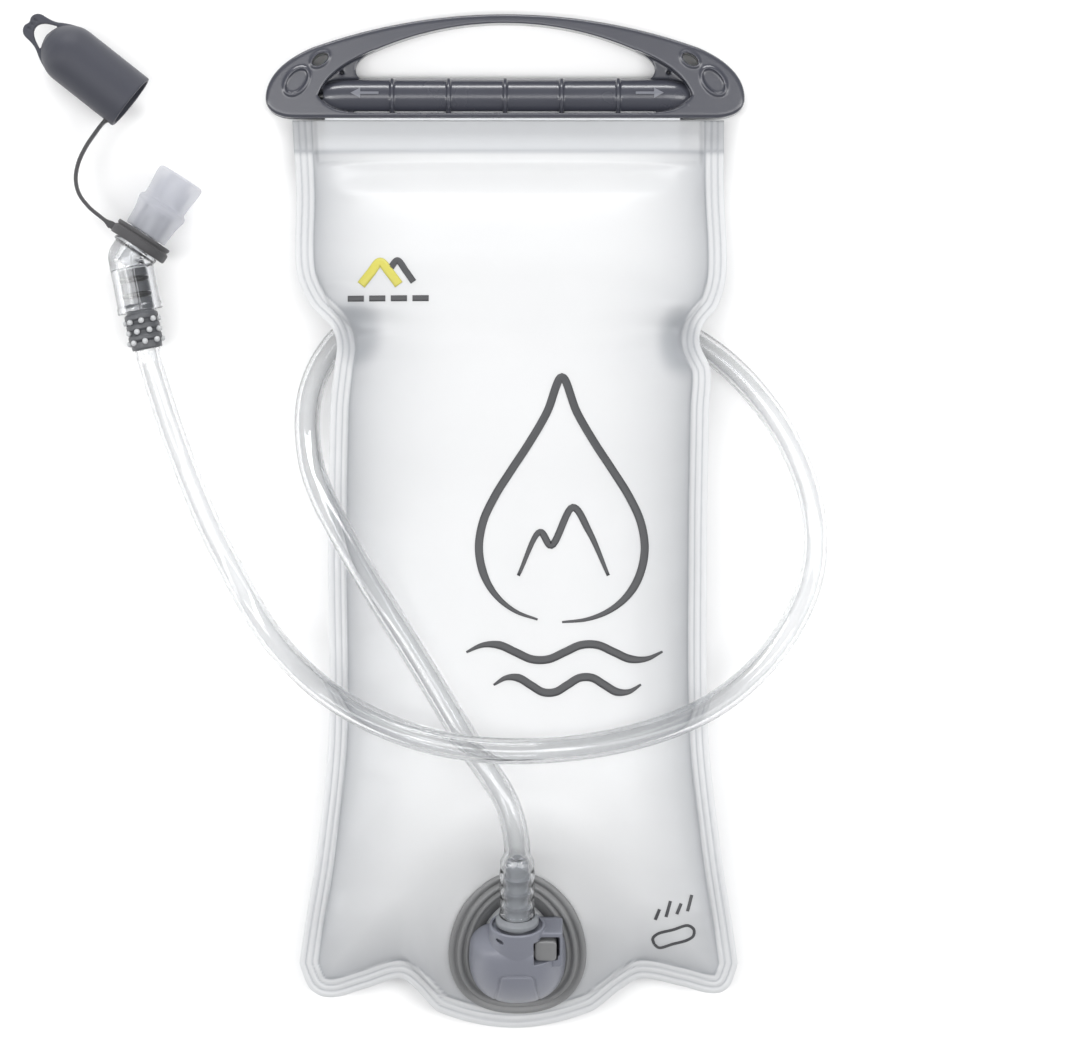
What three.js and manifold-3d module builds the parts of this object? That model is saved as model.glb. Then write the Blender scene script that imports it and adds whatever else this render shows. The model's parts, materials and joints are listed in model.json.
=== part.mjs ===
// Hydration bladder: a two-litre film bag lying on its back, with a slide seal, a quick-connect port,
// a drinking tube and a bite valve with a tethered cap.
// Millimetres. +X right, +Y towards the handle, +Z up. The origin is on the table, under the middle of
// the bag with its slider.
import * as THREE from "three";
import { mergeVertices } from "three/addons/utils/BufferGeometryUtils.js";
import Module from "manifold-3d";

const wasm = await Module();
wasm.setup();

// ---- driving dimensions -------------------------------------------------------------------------
const GAP = 0.3; // between pieces that touch

// bag
const FILM = 0.8; // wall of the welded film
const WELD = 7; // width of the welded border
const MOUTH_Y = 149; // top edge of the film
const CREASE_Y = 137.3; // lower edge of the seal rails inside the mouth
const RAIL_Z = 6.3; // height of the mouth and the slider's centre plane

// slide seal
const RAIL_LEFT = -67;
const RAIL_RIGHT = 65;
const BEAD_Y = 158.1;
const BEAD_R = 3.5;
const WEB = 1.2; // thickness of each rail's web
const TUBE_R = 6.3;
const BORE_R = 4.1; // slider's channel
const SLOT_HALF = 2.2;
const SLIDER_BOTTOM_Y = 149.7;
const SLIDER_DEPTH = 12.4;

// port, in its own frame: +Y along the plug, +Z out of the film
const PORT = { x: 4.6, y: -155, z: 24.5, tilt: 25 };
const FLANGE_HALF_WIDTH = 25.5;
const SOCKET_R = 5.4;
const AXIS_Z = 12.5; // plug axis above the film
const SOCKET_MOUTH_Y = 14;
const COLLAR_R = 10;
const PLUG_R = 5.1;
const BARB_END_Y = 41;

// drinking tube
const HOSE_R = 4.75;
const HOSE_SIDES = 10;
const HOSE_STEP = 15;
const SLEEVE_R = 6.5; // where the tube is stretched over the barb

// bite valve, in its own frame: +Y along the stem, from the stem's shoulder
const VALVE = { x: -135.4, y: 77.7, z: 12, turn: 11 };
const BODY_R = 8.1;
const STEM_LENGTH = 14;
const ELBOW_Y = 20.5;
const NECK_TURN = -44; // of the neck, from the stem's axis
const RING_Y = 7.7; // along the neck, from the elbow
const RING_R = 11.6;
const CAP = { x: -138.9, y: 155.4, turn: 51.7 };
const CAP_R = 11.05;
const STRAP_THICK = 1.4;
const STRAP_WIDE = 4.6;

// ---- helpers ------------------------------------------------------------------------------------
const V = (x, y, z) => new THREE.Vector3(x, y, z);
const radians = THREE.MathUtils.degToRad;

function solid(geometry) {
  const bare = geometry.clone();
  bare.deleteAttribute("normal");
  bare.deleteAttribute("uv");
  const merged = mergeVertices(bare, 1e-4);
  const mesh = new wasm.Mesh({
    numProp: 3,
    vertProperties: Float32Array.from(merged.attributes.position.array),
    triVerts: Uint32Array.from(merged.index.array),
  });
  return new wasm.Manifold(mesh);
}

function geometryOf(shape) {
  const { vertProperties, triVerts } = shape.getMesh();
  const geometry = new THREE.BufferGeometry();
  geometry.setAttribute("position", new THREE.BufferAttribute(vertProperties, 3));
  geometry.setIndex(new THREE.BufferAttribute(triVerts, 1));
  return geometry;
}

const join = (...shapes) => shapes.reduce((a, b) => a.add(b));
const cut = (base, ...tools) => tools.reduce((a, b) => a.subtract(b), base);

function placed(geometry, position = V(0, 0, 0), turns = {}) {
  const { x = 0, y = 0, z = 0 } = turns;
  const turn = new THREE.Euler(radians(x), radians(y), radians(z));
  const matrix = new THREE.Matrix4().makeRotationFromEuler(turn).setPosition(position);
  return solid(geometry.clone().applyMatrix4(matrix));
}

// a block between two corners
function block(low, high) {
  const size = high.clone().sub(low);
  return placed(new THREE.BoxGeometry(size.x, size.y, size.z), low.clone().add(high).divideScalar(2));
}

// a solid of revolution about +Y through at; the profile is a closed list of [radius, y]
function turned(profile, at = V(0, 0, 0), turns = {}, sides = 24) {
  const points = profile.map(([r, y]) => new THREE.Vector2(r, y));
  const closed = points[0].x > 0 || points[points.length - 1].x > 0;
  if (closed) points.push(points[0].clone());
  return placed(new THREE.LatheGeometry(points, sides), at, turns);
}

// a round bar along +Y from one height to another, solid through its axis
const bar = (r, from, to, at = V(0, 0, 0), turns = {}, sides = 24) =>
  turned([[0, from], [r, from], [r, to], [0, to]], at, turns, sides);

// a ring about +Y
const ring = (inner, outer, from, to, at = V(0, 0, 0), turns = {}, sides = 24) =>
  turned([[inner, from], [outer, from], [outer, to], [inner, to]], at, turns, sides);

function plate(shape, from, to, curveSegments = 8) {
  const geometry = new THREE.ExtrudeGeometry(shape, { depth: to - from, bevelEnabled: false, curveSegments });
  return placed(geometry, V(0, 0, from));
}

// cubic curve through [x, y] knots, as a function of x
function smoothThrough(knots) {
  const slope = knots.map((_, i) => {
    const [x0, y0] = knots[Math.max(i - 1, 0)];
    const [x1, y1] = knots[Math.min(i + 1, knots.length - 1)];
    return (y1 - y0) / (x1 - x0);
  });
  return (x) => {
    const last = knots.length - 2;
    const i = THREE.MathUtils.clamp(knots.findIndex(([k]) => k > x) - 1, 0, last);
    const index = x >= knots[knots.length - 1][0] ? last : i;
    const [x0, y0] = knots[index];
    const [x1, y1] = knots[index + 1];
    const span = x1 - x0;
    const t = THREE.MathUtils.clamp((x - x0) / span, 0, 1);
    const s = 1 - t;
    return (
      y0 * s * s * (1 + 2 * t) + y1 * t * t * (3 - 2 * t) +
      span * t * s * (slope[index] * s - slope[index + 1] * t)
    );
  };
}

const smoothstep = THREE.MathUtils.smoothstep;
const mix = THREE.MathUtils.lerp;

const parts = new THREE.Group();
const portFrame = new THREE.Group();
const valveFrame = new THREE.Group();
const neckFrame = new THREE.Group();
const capFrame = new THREE.Group();
parts.add(portFrame, valveFrame, capFrame);
valveFrame.add(neckFrame);

const finish = {
  film: { color: 0xe6e8ea, roughness: 0.35, metalness: 0 },
  rail: { color: 0xe9ebee, roughness: 0.4, metalness: 0 },
  slate: { color: 0x5f6169, roughness: 0.45, metalness: 0 },
  grey: { color: 0x787a7d, roughness: 0.5, metalness: 0 },
  lavender: { color: 0x82848e, roughness: 0.45, metalness: 0 },
  clear: { color: 0xdfe3e6, roughness: 0.15, metalness: 0 },
  silicone: { color: 0xd8dae4, roughness: 0.4, metalness: 0 },
  rubber: { color: 0x5a5c66, roughness: 0.7, metalness: 0 },
  steel: { color: 0xb8babd, roughness: 0.3, metalness: 1 },
  seal: { color: 0x2c2d2f, roughness: 0.7, metalness: 0 },
};

function add(name, shape, look, group = parts) {
  const mesh = new THREE.Mesh(geometryOf(shape), new THREE.MeshStandardMaterial(finish[look]));
  mesh.name = name;
  group.add(mesh);
}

// ---- bag ----------------------------------------------------------------------------------------
// the edges of the welded border, as X for each Y
const leftEdge = smoothThrough([
  [-166, -76.6], [-151, -74.4], [-122, -69.6], [-77, -65.1], [-11, -65.4], [41, -64.6],
  [56, -63.2], [65, -62.2], [72, -64.4], [80, -72], [93, -77.3], [122, -77.7], [149, -79.2],
]);
const rightEdge = smoothThrough([
  [-166, 86.6], [-151, 84.4], [-122, 79.9], [-77, 75.1], [-11, 74.7], [41, 75.5],
  [56, 76], [65, 72.2], [72, 73], [80, 79], [93, 82.1], [122, 81.4], [149, 81.4],
]);
// the bottom edge, as Y for each share of the width: two corners, two notches and a deep middle
const bottomEdge = smoothThrough([
  [0, -164], [0.025, -173.5], [0.072, -176.9], [0.15, -173.6], [0.231, -169.8], [0.265, -173.5],
  [0.32, -182.5], [0.49, -188.3], [0.66, -182.5], [0.735, -173.5], [0.778, -169.8],
  [0.87, -172.6], [0.945, -175.4], [0.98, -172.5], [1, -164],
]);
const seamHeight = smoothThrough([
  [-188, 8.5], [-160, 13], [-120, 19], [-60, 22], [0, 22], [65, 21.8], [88, 18.5], [105, 12.5], [122, 7.6],
  [133, RAIL_Z], [141, RAIL_Z], [149, RAIL_Z],
]);
// how far the front and back films stand off the seam along the middle
const frontRise = smoothThrough([
  [-188, 12], [-150, 20], [-110, 24.5], [-60, 25], [-20, 25], [20, 23], [50, 15], [65, 12], [80, 14],
  [100, 17], [120, 14], [130, 6], [135, 1], [149, 1],
]);
const backDrop = smoothThrough([
  [-188, 14], [-150, 24], [-60, 27], [0, 27], [30, 25], [48, 14], [60, 10.2], [76, 8.9], [91, 6.6],
  [100, 10.2], [112, 10], [122, 7], [130, 4], [135, 1], [149, 1],
]);
const BOTTOM_FADE = 24; // length over which the film rises from the bottom weld
const MIDDLE_SHARE = 0.5;
const MOUTH_EDGE = 0.047; // share of the width that the side weld takes at the mouth

// the egg of the port's flange, in the port's frame; grown widens it all round
function flangeShape(grown = 0) {
  const w = FLANGE_HALF_WIDTH + grown;
  const top = 29.5 + grown;
  const bottom = -30 - grown;
  const shape = new THREE.Shape();
  shape.moveTo(0, bottom);
  shape.bezierCurveTo(w * 0.62, bottom, w, -21 - grown * 0.6, w, -5);
  shape.bezierCurveTo(w, 4, w * 0.86, 13, w * 0.73, 17.5 + grown * 0.7);
  shape.bezierCurveTo(w * 0.55, 24 + grown, w * 0.28, top, 0, top);
  shape.bezierCurveTo(-w * 0.28, top, -w * 0.55, 24 + grown, -w * 0.73, 17.5 + grown * 0.7);
  shape.bezierCurveTo(-w * 0.86, 13, -w, 4, -w, -5);
  shape.bezierCurveTo(-w, -21 - grown * 0.6, -w * 0.62, bottom, 0, bottom);
  return shape;
}

// 1 where the film is welded flat to the port's flange, fading to 0 around it
function portShare(x, y) {
  const across = (x - PORT.x) / (FLANGE_HALF_WIDTH + 1);
  const along = (y - PORT.y) / Math.cos(radians(PORT.tilt)) / 30;
  const out = Math.hypot(across, along * 0.97);
  return 1 - smoothstep(out, 1.32, 1.9);
}

const portPlane = (y) => PORT.z + (y - PORT.y) * Math.tan(radians(PORT.tilt));

// how full the bag stands across its width, from 0 in the weld to 1 along the middle
function acrossShare(u, y, power) {
  const width = rightEdge(y) - leftEdge(y);
  const half = MIDDLE_SHARE - WELD / width;
  const s = Math.min(Math.abs(u - MIDDLE_SHARE) / half, 1);
  return Math.pow(1 - Math.pow(s, 2.6), power);
}

// how far the film stands off the seam to take a rail inside the mouth
function mouthRise(u, y) {
  const across = smoothstep(Math.min(u, 1 - u), MOUTH_EDGE, MOUTH_EDGE + 0.012);
  return (WEB + 1.5 * GAP) * across * smoothstep(y, CREASE_Y - 8, CREASE_Y - 3);
}

function bottomShare(u, y) {
  const t = THREE.MathUtils.clamp((y - bottomEdge(u) - WELD) / BOTTOM_FADE, 0, 1);
  return Math.pow(Math.sin((t * Math.PI) / 2), 0.7);
}

function frontHeight(u, x, y) {
  const seam = seamHeight(y) + GAP / 2;
  const bulge = frontRise(y) * acrossShare(u, y, 0.6) * bottomShare(u, y);
  const inside = Math.min(1, bulge / 4);
  const flat = Math.max(portPlane(y) - FILM - GAP, seam);
  return mix(seam + Math.max(bulge, mouthRise(u, y)), flat, portShare(x, y) * inside);
}

function backHeight(u, x, y) {
  const seam = seamHeight(y) - GAP / 2;
  const drop = backDrop(y) * acrossShare(u, y, 0.45) * bottomShare(u, y);
  return Math.max(seam - Math.max(drop, mouthRise(u, y)), FILM);
}

// a film panel over the bag's outline: a sheet FILM thick on the outer side of the height given
function panel(height, outward) {
  const half = [0, MOUTH_EDGE, 0.06, 0.09, 0.14, 0.21, 0.3, 0.4];
  const across = [...half, 0.5, ...half.map((share) => 1 - share).reverse()];
  const along = [
    0, 0.02, 0.035, 0.06, 0.1, 0.15, 0.2, 0.26, 0.33, 0.41, 0.5, 0.59, 0.66, 0.7, 0.727, 0.75,
    0.773, 0.8, 0.84, 0.88, 0.92, 0.942, 0.957, 1,
  ];
  const columns = across.length;
  const points = [];
  for (const side of [0, 1]) {
    for (const v of along) {
      for (const u of across) {
        const y = mix(bottomEdge(u), MOUTH_Y, v);
        const x = mix(leftEdge(y), rightEdge(y), u);
        points.push(V(x, y, height(u, x, y) + side * outward * FILM));
      }
    }
  }
  const at = (side, row, column) => (side * along.length + row) * columns + column;
  const faces = [];
  const quad = (a, b, c, d) => faces.push(a, b, c, a, c, d);
  for (let r = 0; r + 1 < along.length; r++) {
    for (let c = 0; c + 1 < columns; c++) {
      quad(at(1, r, c), at(1, r, c + 1), at(1, r + 1, c + 1), at(1, r + 1, c));
      quad(at(0, r, c), at(0, r + 1, c), at(0, r + 1, c + 1), at(0, r, c + 1));
    }
  }
  const top = along.length - 1;
  const right = columns - 1;
  for (let c = 0; c < right; c++) {
    quad(at(0, 0, c), at(0, 0, c + 1), at(1, 0, c + 1), at(1, 0, c));
    quad(at(0, top, c + 1), at(0, top, c), at(1, top, c), at(1, top, c + 1));
  }
  for (let r = 0; r < top; r++) {
    quad(at(0, r + 1, 0), at(0, r, 0), at(1, r, 0), at(1, r + 1, 0));
    quad(at(0, r, right), at(0, r + 1, right), at(1, r + 1, right), at(1, r, right));
  }
  if (outward < 0) {
    for (let i = 0; i < faces.length; i += 3) [faces[i + 1], faces[i + 2]] = [faces[i + 2], faces[i + 1]];
  }
  const geometry = new THREE.BufferGeometry();
  geometry.setAttribute("position", new THREE.Float32BufferAttribute(points.flatMap((p) => p.toArray()), 3));
  geometry.setIndex(faces);
  return solid(geometry);
}

const WATER_HOLE = { y: -9, r: 7 }; // where the port draws from the bag

function portTool(shape) {
  const matrix = new THREE.Matrix4().makeRotationX(radians(PORT.tilt)).setPosition(PORT.x, PORT.y, PORT.z);
  return shape.transform(matrix.elements.slice());
}

function filmPanels() {
  const hole = bar(WATER_HOLE.r, -8, 8, V(0, WATER_HOLE.y, 0), { x: 90 }, 16);
  add("front_panel", cut(panel(frontHeight, 1), portTool(hole)), "film");
  add("back_panel", panel(backHeight, -1), "film");
}

// ---- slide seal ---------------------------------------------------------------------------------
// one rail: half of the bead with its flat web, on the side of the mouth given by side
function sealRail(side) {
  const shape = new THREE.Shape();
  const face = GAP / 2;
  const from = Math.acos(face / BEAD_R);
  shape.moveTo(CREASE_Y, face);
  shape.lineTo(CREASE_Y, face + WEB);
  const rootAngle = Math.PI - Math.asin((face + WEB) / BEAD_R);
  shape.absarc(BEAD_Y, 0, BEAD_R, rootAngle, Math.PI / 2 - from, true);
  shape.closePath();
  const geometry = new THREE.ExtrudeGeometry(shape, {
    depth: RAIL_RIGHT - RAIL_LEFT, bevelEnabled: false, curveSegments: 8,
  });
  // the section's x is the bag's Y, its y the bag's Z, and its depth runs along X
  const basis = new THREE.Matrix4().makeBasis(V(0, 1, 0), V(0, 0, 1), V(1, 0, 0));
  geometry.applyMatrix4(basis.setPosition(RAIL_LEFT, 0, 0));
  const rail = solid(geometry);
  const upright = side > 0 ? rail : rail.mirror([0, 0, 1]);
  return upright.translate([0, 0, RAIL_Z]);
}

const HANDLE_TOP_Y = 188.3;
const HANDLE_ARC_R = 213;
const HANDLE_ARC_HALF = 72; // the outer arc runs this far each way
const HOLE_TOP_Y = 184.9;
const HOLE_ARC_R = 121;
const HOLE_HALF = 50;
const HOLE_FLOOR_Y = 164.6;
const RIB_STEP = 21;

function sliderOutline() {
  const arcEnd = HANDLE_TOP_Y - HANDLE_ARC_R + Math.sqrt(HANDLE_ARC_R ** 2 - HANDLE_ARC_HALF ** 2);
  const half = Math.asin(HANDLE_ARC_HALF / HANDLE_ARC_R);
  const shape = new THREE.Shape();
  shape.moveTo(-78, SLIDER_BOTTOM_Y);
  shape.lineTo(78, SLIDER_BOTTOM_Y);
  shape.bezierCurveTo(85, SLIDER_BOTTOM_Y, 89, 152.5, 89, 157);
  shape.bezierCurveTo(89, 164.5, 83, 171, HANDLE_ARC_HALF, arcEnd);
  shape.absarc(0, HANDLE_TOP_Y - HANDLE_ARC_R, HANDLE_ARC_R, Math.PI / 2 - half, Math.PI / 2 + half, false);
  shape.bezierCurveTo(-83, 171, -89, 164.5, -89, 157);
  shape.bezierCurveTo(-89, 152.5, -85, SLIDER_BOTTOM_Y, -78, SLIDER_BOTTOM_Y);
  return shape;
}

function gripHole() {
  const arcEnd = HOLE_TOP_Y - HOLE_ARC_R + Math.sqrt(HOLE_ARC_R ** 2 - HOLE_HALF ** 2);
  const half = Math.asin(HOLE_HALF / HOLE_ARC_R);
  const shape = new THREE.Shape();
  shape.moveTo(-53, HOLE_FLOOR_Y);
  shape.lineTo(53, HOLE_FLOOR_Y);
  shape.bezierCurveTo(57, HOLE_FLOOR_Y, 57, 169.5, HOLE_HALF, arcEnd);
  shape.absarc(0, HOLE_TOP_Y - HOLE_ARC_R, HOLE_ARC_R, Math.PI / 2 - half, Math.PI / 2 + half, false);
  shape.bezierCurveTo(-57, 169.5, -57, HOLE_FLOOR_Y, -53, HOLE_FLOOR_Y);
  return shape;
}

// the almond recess around the tube
function almond() {
  const shape = new THREE.Shape();
  shape.moveTo(-73, BEAD_Y);
  shape.bezierCurveTo(-68, 151.6, -60, 151.6, -52, 151.6);
  shape.lineTo(52, 151.6);
  shape.bezierCurveTo(60, 151.6, 69, 151.6, 74.5, BEAD_Y);
  shape.bezierCurveTo(69, 165.5, 60, 165.8, 52, 165.8);
  shape.lineTo(-52, 165.8);
  shape.bezierCurveTo(-60, 165.8, -68, 165.5, -73, BEAD_Y);
  return shape;
}

function oval(x, y, halfLong, halfWide, turn) {
  const shape = new THREE.Shape();
  shape.absellipse(x, y, halfLong, halfWide, 0, 2 * Math.PI, false, radians(turn));
  return shape;
}

function sliderHandle() {
  const alongX = { z: -90 };
  const body = plate(sliderOutline(), 0, SLIDER_DEPTH, 10);
  const grip = plate(gripHole(), -1, SLIDER_DEPTH + 1, 10);
  const recess = plate(almond(), SLIDER_DEPTH - 3.6, SLIDER_DEPTH + 1, 6);
  const tube = turned(
    [[0, -69], [TUBE_R - 2, -67], [TUBE_R, -58], [TUBE_R, 60], [TUBE_R - 2, 69], [0, 70.7]],
    V(0, BEAD_Y, RAIL_Z), alongX,
  );
  const ribs = [-2, -1, 0, 1, 2].map((step) =>
    bar(TUBE_R + 0.8, step * RIB_STEP - 0.7, step * RIB_STEP + 0.7, V(0, BEAD_Y, RAIL_Z), alongX));
  const channel = bar(BORE_R, -91, 66, V(0, BEAD_Y, RAIL_Z), alongX);
  const slot = block(V(-91, 148, RAIL_Z - SLOT_HALF), V(66, BEAD_Y, RAIL_Z + SLOT_HALF));
  const under = block(V(-95, 140, -5), V(95, 195, 0));
  const lanyards = [-1, 1].map((side) => plate(oval(side * 68.7, 171.4, 3, 1.8, -30 * side), -1, 14, 6));
  const dimples = [-1, 1].map((side) =>
    plate(oval(side * 77.4, 163.3, 5.4, 3.3, -50 * side), SLIDER_DEPTH - 0.8, SLIDER_DEPTH + 1));
  const moulded = join(cut(body, recess), tube, ...ribs);
  add("slider_handle", cut(moulded, grip, channel, slot, under, ...lanyards, ...dimples), "slate");
}

// ---- port ---------------------------------------------------------------------------------------
const FLANGE_FLOOR = 1.8;
const FLANGE_STEP = 3.1;
const HOUSING_BASE = FLANGE_FLOOR + GAP;
const SOCKET_END_Y = -14;
const SEAT_Y = -1.5;
const GROOVE = { from: 3, to: 5.6 };
const BUTTON = { x: 10.4, y: 5.6, half: 4, top: 18.6, travel: 1.8 };

function portFlange() {
  const base = plate(flangeShape(0), 0, FLANGE_FLOOR);
  const step = plate(flangeShape(-3.2), 0, FLANGE_STEP);
  const trough = plate(flangeShape(-7), FLANGE_FLOOR, FLANGE_STEP + 1);
  const hole = bar(WATER_HOLE.r, -1, 5, V(0, WATER_HOLE.y, 0), { x: 90 }, 16);
  add("port_flange", cut(join(base, step), trough, hole), "grey", portFrame);
}

// a prism of a shape drawn in the plane across the plug: shape x is local X, shape y local Z
function acrossPlug(shape, from, to) {
  const geometry = new THREE.ExtrudeGeometry(shape, {
    depth: to - from, bevelEnabled: false, curveSegments: 10,
  });
  return placed(geometry, V(0, to, 0), { x: 90 });
}

// a prism of a shape drawn along the plug: shape x is local Y, shape y local Z
function alongPlug(shape, halfWidth) {
  const geometry = new THREE.ExtrudeGeometry(shape, {
    depth: 2 * halfWidth, bevelEnabled: false, curveSegments: 8,
  });
  const basis = new THREE.Matrix4().makeBasis(V(0, 1, 0), V(0, 0, 1), V(1, 0, 0));
  return solid(geometry.applyMatrix4(basis.setPosition(-halfWidth, 0, 0)));
}

function housingFront() {
  const shape = new THREE.Shape();
  shape.moveTo(-16.8, HOUSING_BASE);
  shape.lineTo(16.8, HOUSING_BASE);
  shape.bezierCurveTo(16.8, 9, 13, 21.5, 0, 21.5);
  shape.bezierCurveTo(-13, 21.5, -16.8, 9, -16.8, HOUSING_BASE);
  return shape;
}

function housingSide() {
  const shape = new THREE.Shape();
  shape.moveTo(-24, HOUSING_BASE);
  shape.lineTo(SOCKET_MOUTH_Y - 3, HOUSING_BASE);
  shape.lineTo(SOCKET_MOUTH_Y - 3, 22);
  shape.lineTo(-3, 22);
  shape.bezierCurveTo(-13, 21.5, -22, 12, -24, HOUSING_BASE);
  return shape;
}

function portHousing() {
  const dome = acrossPlug(housingFront(), -25, SOCKET_MOUTH_Y).intersect(alongPlug(housingSide(), 20));
  const plan = plate(flangeShape(-7.6), HOUSING_BASE, 30);
  const axis = V(0, 0, AXIS_Z);
  const mouth = turned(
    [[0, -2], [9.2, -2], [COLLAR_R, 6], [COLLAR_R, SOCKET_MOUTH_Y], [0, SOCKET_MOUTH_Y]], axis,
  );
  const guard = cut(
    block(V(5, BUTTON.y - 7, HOUSING_BASE), V(17.2, BUTTON.y + 7, 17.4)),
    block(V(BUTTON.x + 3.5, BUTTON.y - 5.4, 10), V(BUTTON.x + 4.8, BUTTON.y + 5.6, 20)),
  );
  const button = block(
    V(BUTTON.x - BUTTON.half - GAP, BUTTON.y - BUTTON.half - GAP, 7),
    V(BUTTON.x + BUTTON.half + GAP, BUTTON.y + BUTTON.half + GAP, 30),
  );
  const latch = block(V(-9, GROOVE.from - GAP, 3.2), V(BUTTON.x, GROOVE.to + GAP, 21.2));
  const socket = bar(SOCKET_R, SOCKET_END_Y, SOCKET_MOUTH_Y + 1, axis);
  const well = bar(4, 0, AXIS_Z, V(0, WATER_HOLE.y, 0), { x: 90 }, 16);
  const springWell = bar(2.6, 3.8, 8, V(BUTTON.x, BUTTON.y, 0), { x: 90 }, 16);
  const body = join(dome.intersect(plan), mouth, guard.intersect(plan));
  add("port_housing", cut(body, button, latch, socket, well, springWell), "lavender", portFrame);
}

// a spring about +Y, from its closed lower end
class Helix extends THREE.Curve {
  constructor(radius, height, turnCount) {
    super();
    Object.assign(this, { radius, height, turnCount });
  }
  getPoint(t, target = V(0, 0, 0)) {
    const angle = 2 * Math.PI * this.turnCount * t;
    return target.set(this.radius * Math.cos(angle), this.height * t, this.radius * Math.sin(angle));
  }
}

function spring(radius, height, turnCount, wireR, at, turns) {
  const wire = new THREE.Shape();
  wire.absarc(0, 0, wireR, 0, 2 * Math.PI, false);
  const geometry = new THREE.ExtrudeGeometry(wire, {
    steps: turnCount * 10, curveSegments: 3, extrudePath: new Helix(radius, height, turnCount),
  });
  return placed(geometry, at, turns);
}

function portInside() {
  const axis = V(0, 0, AXIS_Z);
  const seat = turned(
    [[3.7, SEAT_Y], [SOCKET_R - GAP, SEAT_Y], [SOCKET_R - GAP, SEAT_Y + 1.4], [3.7, SEAT_Y + 1.4]], axis,
  );
  add("port_seal", seat, "seal", portFrame);
  const poppet = turned([[0, -11], [1.3, -11], [1.3, -7], [4.5, -7], [4.5, -5.6], [2.4, -5], [0, -5]], axis);
  add("check_poppet", poppet, "grey", portFrame);
  add("poppet_spring", spring(3.2, 5, 4, 0.35, V(0, -13, AXIS_Z), {}), "steel", portFrame);
}

function releaseButton() {
  const low = BUTTON.top - 6;
  const key = block(
    V(BUTTON.x - BUTTON.half, BUTTON.y - BUTTON.half, low),
    V(BUTTON.x + BUTTON.half, BUTTON.y + BUTTON.half, BUTTON.top),
  );
  const latch = block(V(-7.6, GROOVE.from, 5.4), V(7.8, GROOVE.to, BUTTON.top - 0.6));
  const way = bar(SOCKET_R + 0.1, -2, 12, V(0, 0, AXIS_Z - 0.1));
  const play = bar(SOCKET_R + 0.1, -2, 12, V(0, 0, AXIS_Z + BUTTON.travel));
  add("release_button", cut(join(key, latch), way, play), "grey", portFrame);
  const height = low - GAP - 3.8 - 0.8;
  const at = V(BUTTON.x, BUTTON.y, 3.8 + 0.35);
  add("button_spring", spring(1.8, height, 5, 0.3, at, { x: 90 }), "steel", portFrame);
}

function hosePlug() {
  const axis = V(0, 0, AXIS_Z);
  const profile = [
    [1.9, -4.7], [2.9, -4.7], [2.9, 0.4], [PLUG_R, 0.8],
    [PLUG_R, GROOVE.from - GAP], [3.4, GROOVE.from - GAP], [3.4, GROOVE.to + GAP], [PLUG_R, GROOVE.to + GAP],
    [PLUG_R, 7.6], [3.9, 7.6], [3.9, 9.8], [PLUG_R, 9.8], [PLUG_R, SOCKET_MOUTH_Y + GAP],
    [8.6, SOCKET_MOUTH_Y + GAP], [8.6, 16.4], [6.6, 17.4], [4, 17.4],
  ];
  for (const ridge of [22, 28, 34]) {
    profile.push([4, ridge - 2.4], [5.1, ridge], [4, ridge + 0.3]);
  }
  profile.push([4, 38], [3.4, BARB_END_Y], [1.9, BARB_END_Y]);
  add("hose_plug", turned(profile, axis), "grey", portFrame);
  add("plug_o_ring", ring(4.2, SOCKET_R - 0.1, 8, 9.4, axis), "seal", portFrame);
}

// ---- drinking tube ------------------------------------------------------------------------------
// the middle of the tube, from just past the plug's barb to the valve's stem
const TUBE_ROUTE = [
  [3.5, -111.5, 57.6], [0.4, -102, 59.4], [-5.4, -92, 59.8], [-12.8, -81.5, 58.4], [-22.8, -65, 55.4],
  [-33, -48.2, 52.8], [-42.8, -33, 49.8], [-51.8, -18.6, 44.8], [-60, -4.5, 38.4], [-67, 8.6, 30.4],
  [-71.2, 19.5, 22.4], [-73, 29.5, 15.8], [-73.4, 39.5, 10.8], [-71.8, 49.8, 7.4], [-67.4, 60, 5.5],
  [-60.5, 69, 5], [-51.4, 75.9, 5], [-40.8, 80.2, 5], [-28, 81.8, 5], [-10, 82, 5], [12, 82, 5],
  [34, 80, 5], [54, 75.2, 5], [73, 65.6, 5], [88, 53.4, 5], [101.5, 36.5, 5], [109.6, 21, 5],
  [114.4, 5, 5], [115.4, -10, 5.2],
  [113, -24, 6.4], [107, -37.5, 9.6], [98.6, -49.5, 15.2], [88, -60, 23.4], [76.5, -68, 32.6],
  [64, -73.8, 41.8], [50, -78.2, 50.6], [34, -81.4, 58.6], [16, -83.2, 65.6], [-2, -83.4, 69.4],
  [-17, -81.8, 69.6], [-32, -78.4, 65.8], [-47, -73, 58], [-60, -66.2, 48.4], [-71, -58.4, 38.2],
  [-80.6, -49.5, 27.4], [-88.8, -39.8, 17.4], [-96, -28.6, 9.6], [-102.6, -16.5, 6], [-109.5, -3, 5],
  [-116, 12, 5], [-121.6, 26.5, 6], [-126.2, 40, 9],
].map(([x, y, z]) => V(x, y, z));

function portToWorld(x, y, z) {
  const point = V(x, y, z).applyAxisAngle(V(1, 0, 0), radians(PORT.tilt));
  return point.add(V(PORT.x, PORT.y, PORT.z));
}

function valveToWorld(x, y, z) {
  const point = V(x, y, z).applyAxisAngle(V(0, 0, 1), radians(VALVE.turn));
  return point.add(V(VALVE.x, VALVE.y, VALVE.z));
}

// the stretch of a curve between two shares of its length
class Stretch extends THREE.Curve {
  constructor(curve, from, to) {
    super();
    Object.assign(this, { curve, from, to });
  }
  getPoint(t, target = V(0, 0, 0)) {
    return this.curve.getPointAt(mix(this.from, this.to, t), target);
  }
}

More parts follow.
